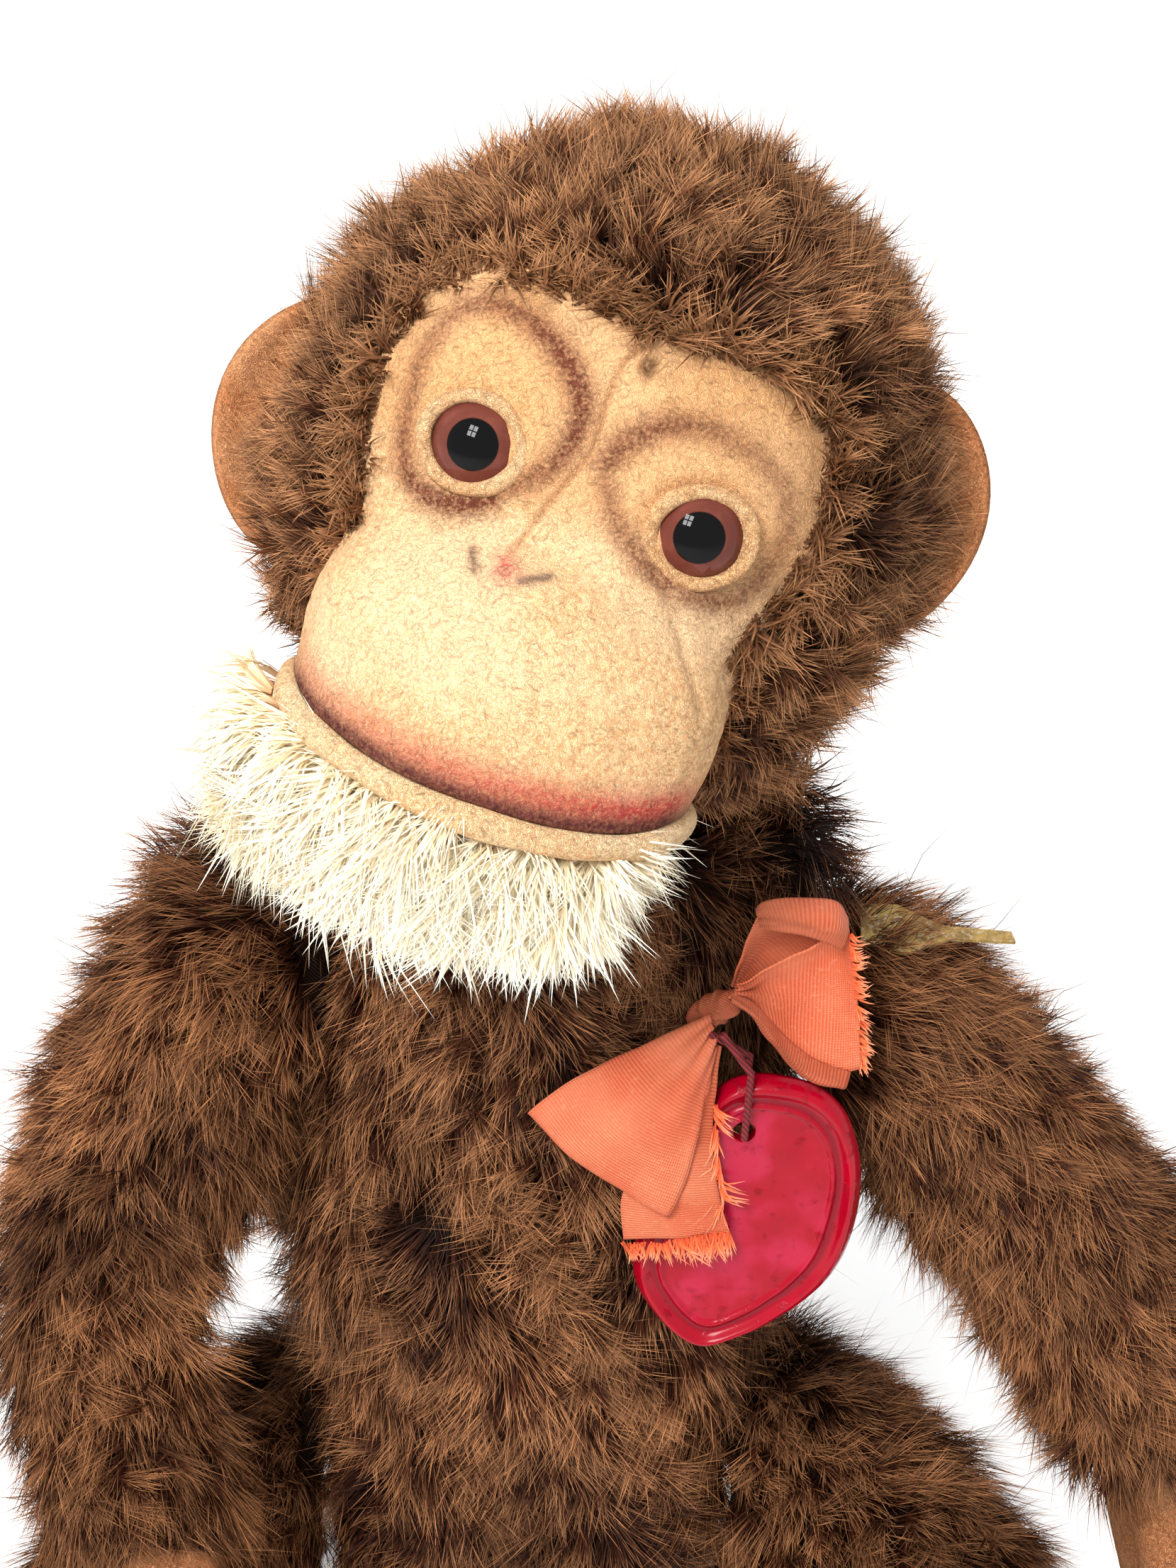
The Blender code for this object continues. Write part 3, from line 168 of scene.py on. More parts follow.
floor_shape = bmesh.new()
bmesh.ops.create_grid(floor_shape, x_segments=2, y_segments=2, size=3)
floor_mesh = bpy.data.meshes.new("floor")
floor_shape.to_mesh(floor_mesh)
floor = bpy.data.objects.new("floor", floor_mesh)
floor.data.materials.append(surface("floor_paper", floor_paper))
bpy.context.collection.objects.link(floor)
floor.location.z = -0.0002

# Light
# A soft room with one window of four panes high on the left, which also shows in the glass eyes.
world = bpy.data.worlds.new("room")
world.use_nodes = True
bpy.context.scene.world = world
room = Value(world.node_tree)
backdrop = world.node_tree.nodes["Background"]
room.fill(backdrop.inputs["Color"], seen_rays(room).blend((0.66, 0.66, 0.67, 1), (1, 1, 1, 1)))
backdrop.inputs["Strength"].default_value = 1.08


def lamp(name, size, power, stand, in_gloss):
    light = bpy.data.lights.new(name, "AREA")
    light.shape, light.size, light.size_y, light.energy = "RECTANGLE", *size, power
    ob = bpy.data.objects.new(name, light)
    ob.matrix_world, ob.visible_glossy = stand, in_gloss
    bpy.context.collection.objects.link(ob)


def tilted(*degrees):
    return Euler([math.radians(a) for a in degrees]).to_matrix().to_4x4()


lamp("ceiling", (1.1, 1.1), 4.6, Matrix.Translation((-0.35, -0.45, 1.2)) @ tilted(22, -16, 0), False)
for across in (-0.077, 0.077):
    for up in (-0.097, 0.097):
        stand = Matrix.Translation((0, 0, 0.1)) @ tilted(42, 0, -28) @ Matrix.Translation((across, up, 0.95))
        lamp("window_pane", (0.12, 0.155), 2.3, stand, True)

# Frame, spindle, levers and pins
# Sheet steel strap, tube, forks, cranks and rod, with turned brass bushes: bare metal, dulled by age.
LIMB_JOINTS = ("left_shoulder", "right_shoulder", "left_hip", "right_hip")


def tone(red, green, blue):
    """A colour as it looks on a screen, from 0 to 255, as the linear one that a shader takes."""
    return (*[((c / 255 + 0.055) / 1.055) ** 2.4 if c > 10 else c / 255 / 12.92
              for c in (red, green, blue)], 1)


def old_steel(base):
    place = base.coords()
    drawn = place.drawn(0.08).noise(2600.0, 3.0)
    spots = place.noise(240.0, 4.0).clear(0.56, 0.7)
    return {
        "Base Color": spots.blend(drawn.blend(tone(150, 150, 152), tone(184, 184, 186)), tone(104, 76, 58)),
        "Metallic": 1 - spots * 0.8, "Roughness": drawn * 0.3 + 0.25 + spots * 0.35,
        "Height": (drawn, 0.00002)}


def old_brass(base):
    dull = base.coords().noise(300.0, 4.0)
    return {"Base Color": dull.blend(tone(196, 160, 92), tone(122, 92, 50)), "Metallic": 1.0,
            "Roughness": dull * 0.4 + 0.2, "Height": (dull, 0.00002)}


def paint_nodes(finish, *names):
    for name in names:
        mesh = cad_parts[name].data
        mesh.materials.clear()
        mesh.materials.append(finish)


paint_nodes(
    surface("old_steel", old_steel), "frame_strap", "neck_tube", "neck_fork", "tail_fork", "nod_pin",
    "tail_pin", "push_rod", "head_lever", "head_link_pin", "tail_lever", "tail_link_pin", "left_eye_shank",
    "right_eye_shank", *[joint + "_split_pin" for joint in LIMB_JOINTS])
paint_nodes(surface("old_brass", old_brass), "top_bush", "bottom_bush")


# Discs and filling
# Pressed hardboard discs turn face to face in the joints, and wood wool, fine curled shavings, fills the body.
def hardboard(base):
    fibre = base.coords().noise(700.0, 5.0, 0.7)
    return {"Base Color": fibre.blend(tone(96, 66, 44), tone(150, 112, 78)), "Roughness": fibre * 0.2 + 0.6,
            "Height": (fibre, 0.0001)}


def wood_wool(base):
    place = base.coords()
    astray = place.node("TexNoise", {}, {"Vector": place, "Scale": 120.0}, 1)
    bent = place.node("VectorMath", {"operation": "MULTIPLY_ADD"},
                      {0: astray, 1: (0.01, 0.01, 0.01), 2: place})
    curl = bent.bands(300.0, 8.0, way="X")
    return {"Base Color": curl.blend(tone(150, 118, 74), tone(224, 198, 148)), "Roughness": 0.85,
            "Height": (curl, 0.0006)}


paint_nodes(surface("hardboard", hardboard), "neck_plate", "head_anchor_disc",
            *[joint + disc for joint in LIMB_JOINTS for disc in ("_torso_disc", "_limb_disc")])
paint_nodes(surface("wood_wool", wood_wool), "torso_stuffing", "head_stuffing")


# Torso
# A bag of brown mohair plush: woven backing with a dull curly pile about 9 mm long that is brushed downwards.
# The backing is drawn 2.7 mm inside the middle of the pile. Each blade of the pile is a lock of a few hairs.
INSET = 2.7 * MM
PILE, BLADE = 11 * MM, 0.21 * MM
NECK_TOP, COLLAR_DEPTH = 137 * MM, 7 * MM


def plush_back(base):
    place = base.coords()
    thread = place.bands(900.0, 1.0)
    patch = place.noise(90.0, 3.0)
    return {"Base Color": (patch * 0.6 + thread * 0.4).blend(tone(20, 11, 7), tone(48, 30, 20)),
            "Roughness": 0.95, "Specular IOR Level": 0.1, "Height": (thread, 0.0002)}


def pile_finish(root, middle, tip, deep, pale):
    """A pile that pales from root to tip, between a deep and a pale strand colour. The near-black root is
    painted shade deep in the pile, and the pale tip is partly the fibre's own colour and partly painted light.
    """
    def make(base):
        both = base.node("UVMap", {"uv_map": "OFBake"})
        # Along each blade: the dark root end is painted shade deep in the pile, the pale tip partly painted
        # light.
        length = base.node("ValToRGB", {"stops": [(0.0, root), (0.56, middle), (1.0, tip)]},
                           {"Fac": both.along(1)})
        strand = base.node("ValToRGB", {"stops": [(0.0, deep), (0.5, (0.5, 0.5, 0.5)), (1.0, pale)]},
                           {"Fac": both.along(0)})
        double = base.node("VectorMath", {"operation": "SCALE"}, {0: strand, "Scale": 2.0})
        return {"Base Color": base.node("VectorMath", {"operation": "MULTIPLY"}, {0: length, 1: double}),
                "Roughness": 0.6, "Specular IOR Level": 0.1}
    return make


backing = surface("plush_backing", plush_back)
# Its near-black root colour is painted shade deep in the pile.
brown_pile = surface("brown_mohair", pile_finish(
    tone(7, 2, 1), tone(66, 33, 18), tone(204, 144, 98), (0.14, 0.12, 0.11), (1.0, 0.97, 0.92)))


def unit(values):
    return np.clip(values, 0, 1)


def sized(vectors):
    """The vectors, one unit long."""
    return vectors / np.maximum(np.linalg.norm(vectors, axis=-1), 1e-9)[..., None]


def level(vectors, normals):
    """The part of each vector that lies along the surface, one unit long."""
    return sized(vectors - (vectors * normals).sum(1)[:, None] * normals)


def places_of(form):
    return np.array([v.co for v in form.verts])


def set_places(form, places):
    for vertex, place in zip(form.verts, places):
        vertex.co = place


def waves(places, count, short, long, seed):
    """Smooth noise at places in metres, and its slope, from plane waves. Their lengths are in millimetres."""
    rng = np.random.default_rng(seed)
    axes = rng.normal(size=(count, 3))
    axes /= np.linalg.norm(axes, axis=1)[:, None]
    pace = 2 * np.pi / (rng.uniform(short, long, count) * MM)
    turn = places @ (axes * pace[:, None]).T + rng.uniform(0, 2 * np.pi, count)
    return np.sin(turn).sum(1) / math.sqrt(count / 2), np.cos(turn) @ axes / math.sqrt(count / 2)


def merged(node):
    form = bmesh.new()
    form.from_mesh(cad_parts[node].data)
    bmesh.ops.remove_doubles(form, verts=form.verts, dist=1e-5)
    return form


def outer_wall(node, reach):
    """A merged copy of a CAD node without the walls that face its own inside within reach."""
    form = merged(node)
    bmesh.ops.triangulate(form, faces=form.faces)
    form.normal_update()
    tree = BVHTree.FromBMesh(form)
    inside = []
    for face in form.faces:
        start = face.calc_center_median() + face.normal * 0.05 * MM
        if tree.ray_cast(start, face.normal, reach)[0] is not None:
            inside.append(face)
    bmesh.ops.delete(form, geom=inside, context="FACES")
    form.normal_update()
    return form


def scattered(form, count, seed):
    """Points spread evenly over a bmesh, with their smooth normals."""
    rng = np.random.default_rng(seed)
    form.verts.ensure_lookup_table()
    form.verts.index_update()
    places = places_of(form)
    outward = np.array([v.normal for v in form.verts])
    corners = np.array([[v.index for v in f.verts] for f in form.faces])
    a, b, c = (places[corners[:, i]] for i in range(3))
    area = np.linalg.norm(np.cross(b - a, c - a), axis=1)
    chosen = rng.choice(len(corners), count, p=area / area.sum())
    one, two = rng.random((2, count))
    over = one + two > 1
    one[over], two[over] = 1 - one[over], 1 - two[over]
    share = np.stack([1 - one - two, one, two], 1)[:, :, None]
    return (places[corners[chosen]] * share).sum(1), sized((outward[corners[chosen]] * share).sum(1))


def grow_pile(name, roots, normals, lay, length, rise, width, shade, seed, tuft=24, sway=0.36, gather=0.68,
              bends=1, stray=0.10, loose=0.008):
    """A mesh of tapering blades, one per root, which lean together in tufts. rise is how far a blade stands up,
    as a share of its length; sway turns whole tufts aside, and gather draws a tuft's blades to its tip."""
    rng = np.random.default_rng(seed)
    count = len(roots)
    heads = rng.choice(count, max(count // tuft, 8), replace=False)
    tree = KDTree(len(heads))
    for index, head in enumerate(heads):
        tree.insert(roots[head], index)
    tree.balance()
    own = np.array([tree.find(place)[1] for place in roots])

    def varied(of_tufts):
        return rng.normal(0, of_tufts, len(heads))[own]

    wild = rng.random(count) < loose
    spin = (varied(sway) + wild * rng.normal(0, 0.9, count))[:, None]
    lay = level(lay * np.cos(spin) + np.cross(normals, lay) * np.sin(spin), normals)
    length = length * rng.uniform(0.74, 1.14, len(heads))[own] * rng.uniform(0.8, 1.1, count)
    length = (length * np.where(wild, 1.4, 1.0))[:, None]
    rise = np.clip(rise + varied(0.15) + rng.normal(0, 0.06, count) + 0.25 * wild, 0.1, 0.97)[:, None]
    reach = np.sqrt(1 - rise ** 2)
    wide = (width * rng.uniform(0.7, 1.2, count) * np.where(wild, 0.45, 1.0))[:, None]
    curl = np.cross(normals, lay) * (varied(0.30) + rng.normal(0, 0.12, count))[:, None]
    apart = roots - roots[heads[own]]
    apart = apart - (apart * normals).sum(1)[:, None] * normals
    apart = apart * (gather * rng.uniform(0.6, 1.1, count))[:, None]
    wander = rng.normal(0, stray, (count, 3)) * length
    tint = np.clip(shade + varied(0.10), 0.02, 0.98)[:, None]
    steps = np.arange(bends + 2) / (bends + 1)
    centres = [
        roots + length * (normals * rise * (1.45 * t - 0.45 * t * t) + lay * reach * (0.65 * t + 0.35 * t * t)
                          + curl * t * t) - apart * t ** 1.2 + wander * t ** 1.6 for t in steps]
    across = sized(np.cross(centres[1] - centres[0], normals))
    twist = rng.normal(0, 0.5, count)[:, None]
    across = across * np.cos(twist) + normals * np.sin(twist)
    rows = []
    for t, centre in zip(steps[:-1], centres):
        half = across * wide * (0.5 - 0.16 * t)
        rows += [centre - half, centre + half]
    rows.append(centres[-1])
    points = np.stack(rows, 1).reshape(-1, 3)
    points[:, 2] = np.maximum(points[:, 2], 0.05 * MM)
    corners = [[2 * s + i for i in half] for s in range(bends) for half in ((0, 1, 3), (0, 3, 2))]
    corners.append([2 * bends, 2 * bends + 1, 2 * bends + 2])
    corners = (np.arange(count)[:, None, None] * len(rows) + np.array(corners)[None]).reshape(-1)
    beside = np.array([-1, 1] * (bends + 1) + [0]) * 0.006
    tint = np.clip(tint + beside[None], 0.004, 0.996).reshape(-1)
    rank = np.tile(0.01 + 0.98 * np.append(np.repeat(steps[:-1], 2), 1.0), count)
    mesh = bpy.data.meshes.new(name)
    mesh.vertices.add(len(points))
    mesh.vertices.foreach_set("co", points.astype(np.float32).ravel())
    mesh.loops.add(len(corners))
    mesh.loops.foreach_set("vertex_index", corners.astype(np.int32))
    mesh.polygons.add(len(corners) // 3)
    mesh.polygons.foreach_set("loop_start", np.arange(0, len(corners), 3, dtype=np.int32))
    mesh.update(calc_edges=True)
    chart = mesh.uv_layers.new(name="OFBake")
    chart.data.foreach_set("uv", np.stack([tint[corners], rank[corners]], 1).astype(np.float32).ravel())
    return mesh


def swollen(places, outward, lumps):
    """Places moved out along their normals by soft lumps, each (middle, reach, height) in millimetres."""
    for centre, spread, height in lumps:
        near = np.exp(-(((places / MM - centre) / spread) ** 2).sum(1))
        places = places + outward * (height * MM * near)[:, None]
    return places


def piece(name, mesh, finish, body):
    """Links a mesh as a piece that rides on a body. mesh is a bmesh or a finished mesh."""
    if isinstance(mesh, bmesh.types.BMesh):
        made = bpy.data.meshes.new(name)
        mesh.to_mesh(made)
        mesh.free()
        mesh = made
    mesh.name = name
    mesh.materials.clear()
    mesh.materials.append(finish)
    mesh.polygons.foreach_set("use_smooth", [True] * len(mesh.polygons))
    ob = bpy.data.objects.new(name, mesh)
    bpy.context.collection.objects.link(ob)
    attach(ob, body)
    return ob


def skin(name, form, inset, body, lumps=()):
    """The backing cloth: a wall moved inwards along its normals."""
    outward = np.array([v.normal for v in form.verts])
    set_places(form, swollen(places_of(form), outward, lumps) - outward * inset)
    piece(name, form, backing, body)


def shades(places, seed, middle=0.5):
    """Where the pile is deeper or paler: slow patches and single strands."""
    rng = np.random.default_rng(seed)
    slow = waves(places, 10, 14, 40, seed)[0]
    quick = waves(places, 12, 3, 7, seed + 7)[0]
    return middle + 0.09 * slow + 0.08 * quick + rng.normal(0, 0.17, len(places))


MEDAL_MIDDLE = np.array([26, -30.6, 94]) * MM
KNOT = np.array([20, -24.2, 123.4]) * MM


def under_trim(places):
    """1 under the bow and the medallion, where the pile is pressed flat, and 0 elsewhere."""
    x, z = (places[:, 0] - MEDAL_MIDDLE[0]) / (16 * MM), (places[:, 2] - MEDAL_MIDDLE[2]) / (24 * MM)
    medal = np.clip(1.35 - np.hypot(x, z), 0, 0.35) / 0.35
    x, z = (places[:, 0] - KNOT[0]) / (25 * MM), (places[:, 2] - KNOT[2] + 3 * MM) / (19 * MM)
    bow = np.clip(1.2 - np.hypot(x, z), 0, 0.3) / 0.3
    beside = unit((32 * MM - places[:, 0]) / (4 * MM))
    return np.where(places[:, 1] < 0, np.maximum(medal, bow) * beside, 0)


TORSO_LUMPS = [
    ((31, 0, 133), (13, 20, 12), 10), ((-30, 0, 134), (12, 20, 12), 7), ((-35, -8, 76), (12, 22, 30), 4.2),
    ((22, -20, 14), (12, 12, 24), 10), ((-22, -20, 14), (12, 12, 24), 10)]
torso_wall = outer_wall("torso_cover", 80 * MM)
spots, outward = scattered(torso_wall, 118000, 11)
kept = (spots[:, 2] > 1.5 * MM) & (outward[:, 2] > -0.93)
spots, outward = spots[kept], outward[kept]
spots = swollen(spots, outward, TORSO_LUMPS)
pressed = under_trim(spots)
collar = unit((spots[:, 2] - NECK_TOP) / COLLAR_DEPTH) * unit((spots[:, 1] + 16 * MM) / (8 * MM))
torso_lay = level(np.array([0, 0, 1.0]) * (1.7 * collar - 1)[:, None]
                  + 0.95 * waves(spots, 10, 20, 50, 12)[1], outward)
front = spots[:, 1] < 0
for part, chosen in (("front", front), ("back", ~front)):
    flat, high = pressed[chosen], collar[chosen]
    mesh = grow_pile(
        "torso_pile_" + part, spots[chosen] - outward[chosen] * INSET, outward[chosen], torso_lay[chosen],
        PILE * (1 - 0.3 * flat + 0.3 * high), 0.50 - 0.28 * flat + 0.34 * high, BLADE,
        shades(spots[chosen], 13, 0.44), 14)
    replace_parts(piece("torso_pile_" + part, mesh, brown_pile, "torso"), "torso_cover")
skin("torso_backing", torso_wall, INSET, "torso", TORSO_LUMPS)

# Arms and legs
# Bent tubes of the same plush stuffed with wood wool. The pile runs towards the hands and feet, and is sunned
# on the arms. The left sleeve ends short of its wrist, so that the mitt shows.
JOINT_FACE = 31.9 * MM
CUFF_REACH = 30 * MM
# Its near-black root colour is painted shade deep in the pile.
arm_pile = surface("arm_mohair", pile_finish(
    tone(8, 3, 1), tone(64, 32, 18), tone(190, 132, 88), (0.14, 0.12, 0.11), (1.0, 0.97, 0.92)))


def limb(name, body, line, finish, seed, middle, lumps, cuff=0.0):
    wall = outer_wall(name, 20 * MM)
    spots, outward = scattered(wall, 60000, seed)
    way = np.array(line) * MM
    stretch = way[1:] - way[:-1]
    wrist = stretch[-1] / np.linalg.norm(stretch[-1])

    def past_cuff(places, slack):
        apart = places - way[-1]
        return (cuff > 0) & (apart @ wrist + cuff >= -slack) & (np.linalg.norm(apart, axis=1) < CUFF_REACH)

    kept = (np.abs(spots[:, 0]) > JOINT_FACE + 1.2 * MM) & ~past_cuff(spots, 3.5 * MM)
    spots, outward = spots[kept], outward[kept]
    spots = swollen(spots, outward, lumps)
    nearest = np.argmin(np.linalg.norm(spots[:, None] - way[None, :-1], axis=2), axis=1)
    lay = level(sized(stretch)[nearest] + 0.5 * waves(spots, 10, 18, 45, seed + 3)[1]
                + np.array([0, 0, -0.3]), outward)
    shore = unit((np.abs(spots[:, 0]) - JOINT_FACE) / (7 * MM))
    mesh = grow_pile(name + "_pile", spots - outward * INSET, outward, lay, PILE * (0.85 + 0.15 * shore),
                     0.40 + 0.10 * shore, BLADE, shades(spots, seed + 5, middle), seed + 6)
    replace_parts(piece(name + "_pile", mesh, finish, body), name)
    for vertex in wall.verts:
        if abs(vertex.co.x) < JOINT_FACE + 0.5 * MM:
            vertex.normal = (0, 0, 0)
    if cuff:
        bare = past_cuff(places_of(wall), 2 * MM)
        bmesh.ops.delete(wall, geom=[v for v, gone in zip(wall.verts, bare) if gone], context="VERTS")
    skin(name + "_backing", wall, INSET, body, lumps)


limb("left_arm", "left_arm_body", [
    (33, -2, 112), (54, -4, 98), (67, -6, 84), (77, -8, 70), (86, -11, 55), (91, -14, 42), (95, -16, 35)],
    arm_pile, 31, 0.49,
    [((58, -4, 118), (14, 16, 12), -2.0), ((86, -10, 76), (12, 16, 16), 2.0),
     ((88, -13, 50), (16, 16, 13), -3.0)],
    cuff=7 * MM)
limb("right_arm", "right_arm_body", [
    (-33, -2, 112), (-51, -9, 99), (-58, -16, 83), (-60, -26, 69.5), (-57, -38, 58.5), (-52, -49, 52.5),
    (-49, -56, 50)], arm_pile, 41, 0.43,
    [((-46, -4, 127), (13, 18, 10), 5.0), ((-46, -10, 92), (8, 16, 12), 3.0),
     ((-46, -24, 66), (9, 14, 14), -5.0)])
limb("left_leg", "left_leg_body", [
    (33, 0, 24), (53, -20, 24), (61, -35, 24), (69, -52, 23), (76, -69, 21), (80.4, -80, 20.5)],
    brown_pile, 51, 0.5,
    [((36, -16, 20), (9, 18, 20), 5.5)])
limb("right_leg", "right_leg_body", [
    (-33, 0, 24), (-50, -22, 23), (-56, -38, 22), (-61, -56, 20.5), (-65, -73, 19), (-67, -84, 18.5)],
    brown_pile, 61, 0.46,
    [((-36, -18, 16), (9, 18, 16), 5.5), ((-45, -10, 40), (14, 18, 10), -6.0)])

# Tail
# The lever behind the slot in the back, in a sleeve of plush that the child holds. A ruff closes the end
# of the sleeve.
tail_wall = outer_wall("tail_cover", 14 * MM)
spots, outward = scattered(tail_wall, 40000, 71)
kept = spots[:, 1] > 30 * MM
spots, outward = spots[kept], outward[kept]
ruff = unit((43 * MM - spots[:, 1]) / (8 * MM))
tail_lay = level(np.array([0, 1.0, 0.35]) * (1 - 1.8 * ruff)[:, None]
                 + 0.3 * waves(spots, 10, 18, 45, 72)[1], outward)
mesh = grow_pile("tail_pile", spots - outward * INSET, outward, tail_lay, (9 + 5 * ruff) * MM,
                 0.6 + 0.15 * ruff, 0.2 * MM, shades(spots, 73, 0.45), 74)
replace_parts(piece("tail_pile", mesh, brown_pile, "tail"), "tail_cover")
skin("tail_backing", tail_wall, 2.0 * MM, "tail")

# Hands and feet
# Two layers of orange tan felt sewn at the rim, lightly stuffed. The left hand is drawn up into its short
# sleeve.
def painted(colour, *layers):
    """A colour under layers, each a mask and a colour as it looks on a screen."""
    for mask, over in layers:
        colour = mask.blend(colour, tone(*over))
    return colour


def felt(deep, plain, pale):
    """Wool felt: short matted fibres that stand out paler and deeper."""
    def make(base):
        place = base.coords()
        mat = place.noise(1500.0, 4.0, 0.65)
        hair = place.bands(260.0, 60.0, 3.0, 3.0)
        worn = place.noise(110.0, 3.0).clear(0.42, 0.66)
        colour = painted(mat.clear(0.36, 0.64).blend(tone(*deep), tone(*plain)),
                         (hair.clear(0.72, 1.0) * 0.6, pale), (worn * 0.35, pale))
        return {"Base Color": colour, "Roughness": 0.95, "Specular IOR Level": 0.12,
                "Height": (mat * 0.6 + hair * 0.4, 0.00035)}
    return make


orange_felt = surface("orange_tan_felt", felt((168, 96, 56), (204, 132, 84), (232, 178, 130)))


def settled(ob):
    """Makes an object's modifiers part of its mesh."""
    bpy.context.view_layer.update()
    made = bpy.data.meshes.new_from_object(ob.evaluated_get(bpy.context.evaluated_depsgraph_get()))
    ob.modifiers.clear()
    ob.data = made


def mitt(name, body, reach=(0, 0, 0)):
    form = merged(name)
    if any(reach):
        up = Vector(reach).normalized()
        rise = [v.co @ up for v in form.verts]
        for vertex, high in zip(form.verts, rise):
            share = max(0.0, (high - min(rise)) / (max(rise) - min(rise)) - 0.5) * 2
            vertex.co += Vector(reach) * MM * share
    ob = piece(name + "_felt", form, orange_felt, body)
    remesh = ob.modifiers.new("remesh", "REMESH")
    remesh.mode, remesh.voxel_size = "VOXEL", 0.9 * MM
    soften = ob.modifiers.new("soften", "SMOOTH")
    soften.iterations, soften.factor = 6, 0.5
    settled(ob)
    ob.data.polygons.foreach_set("use_smooth", [True] * len(ob.data.polygons))
    ob.data.materials.clear()
    ob.data.materials.append(orange_felt)
    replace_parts(ob, name)


mitt("left_hand", "left_arm_body", (-4, 2, 7))
mitt("left_foot", "left_leg_body")
mitt("right_hand", "right_arm_body")
mitt("right_foot", "right_leg_body")

# Head
# A hard egg of wood wool under plush. It is sewn askew on its lever and looks up at the child.
# Places on the head are in millimetres from its middle: x to the monkey's left, y behind, z up.
head_place = (Matrix.Rotation(math.radians(-4), 4, "Z") @ Matrix.Translation((0, 6 * MM, 158 * MM))
              @ Matrix.Rotation(math.radians(-19), 4, "X") @ Matrix.Translation((0, -18.5 * MM, 26.5 * MM))
              @ Matrix.Rotation(math.radians(15), 4, "Y"))
turned = np.array(head_place.to_3x3())
middle = np.array(head_place.translation)
SKULL = np.array([34.7, 33.0, 35.0])
SKULL_MIDDLE = np.array([0, 0, 1.0])
MUZZLE = np.array([24.8, 20.0, 16.5])
MUZZLE_MIDDLE = np.array([0, -27.0, -20.0])
NECK = np.array([0, 18.5, -26.5])
HEAD_INSET, PILE_OUT = 2.7, 5.3
NECK_BARE, NECK_HOLLOW, NAPE = 19, 17.5, 31
FACE_EDGE = [
    (0, 22.3), (10, 22.3), (20, 21.5), (25.5, 17), (28, 8), (27, -1), (24.5, -8), (23, -16), (23.5, -24),
    (20, -31)]
HEAD_LUMPS = [
    ((-33, -8, -33), (9, 16, 8), 7), ((32, -4, -29), (11, 16, 11), 4), ((-24, -4, 28), (20, 26, 16), -3.2),
    ((-39, -10, 6), (12, 13, 15), -4.0)]


def in_place(points):
    """Points of the head in millimetres as points of the room in metres."""
    return points * MM @ turned.T + middle


def egg(points, centre, radii):
    """About how far points lie outside an ellipsoid, in millimetres."""
    near = np.linalg.norm((points - centre) / radii, axis=-1)
    return near * (near - 1) / np.maximum(np.linalg.norm((points - centre) / radii ** 2, axis=-1), 1e-9)


def edge_distance(points):
    """How far points, seen from in front, lie outside the felt face. Behind the head it is large."""
    half = np.array(FACE_EDGE, float)
    line = np.concatenate([half, half[::-1] * [-1, 1]])
    flat = points[:, [0, 2]]
    best = np.full(len(flat), 1e9)
    inside = np.zeros(len(flat), bool)
    for a, b in zip(line, np.roll(line, -1, axis=0)):
        t = unit(((flat - a) @ (b - a)) / max(((b - a) ** 2).sum(), 1e-9))
        best = np.minimum(best, np.linalg.norm(flat - a - t[:, None] * (b - a), axis=1))
        crosses = (a[1] > flat[:, 1]) != (b[1] > flat[:, 1])
        with np.errstate(divide="ignore", invalid="ignore"):
            inside ^= crosses & (flat[:, 0] < (b[0] - a[0]) * (flat[:, 1] - a[1]) / (b[1] - a[1]) + a[0])
    return np.where(points[:, 1] > -4, 60.0, np.where(inside, -best, best))


head_radii = SKULL + PILE_OUT
rng = np.random.default_rng(81)
way = rng.normal(size=(150000, 3))
way /= np.linalg.norm(way, axis=1)[:, None]
keep_share = np.linalg.norm(way / head_radii, axis=1)
kept = rng.random(len(way)) < keep_share / keep_share.max()
way = way[kept]
outward = sized(way / head_radii)
spots = way * head_radii + SKULL_MIDDLE
apart = edge_distance(spots)
spots = swollen(spots * MM, outward, HEAD_LUMPS) / MM
below_lip = (spots[:, 1] < -8) & (spots[:, 2] < -22) & (np.abs(spots[:, 0]) < 24)
kept = (apart > -0.5) & (np.linalg.norm(spots - NECK, axis=1) > NECK_BARE) & ~below_lip
spots, outward, apart = spots[kept], outward[kept], apart[kept]
near_face = unit(apart / 9)
nape = unit((NAPE - np.linalg.norm(spots - NECK, axis=1)) / 8) * unit((spots[:, 1] + 4) / 10)
away = spots - np.array([0, -30, 0])
away[:, 2] += 8 * near_face
head_lay = level(away / np.linalg.norm(away, axis=1)[:, None] * (0.15 + 0.85 * near_face - 1.0 * nape)[:, None]
                 + (NECK - spots) / 20 * nape[:, None] + 0.6 * waves(spots * MM, 10, 12, 34, 82)[1], outward)
roots = in_place(spots - outward * HEAD_INSET)
outward, head_lay = outward @ turned.T, head_lay @ turned.T
hair = (4.6 + 4.6 * near_face + 4.0 * nape) * MM
head_shade = shades(roots, 83, 0.5) - 0.08 * (1 - near_face)
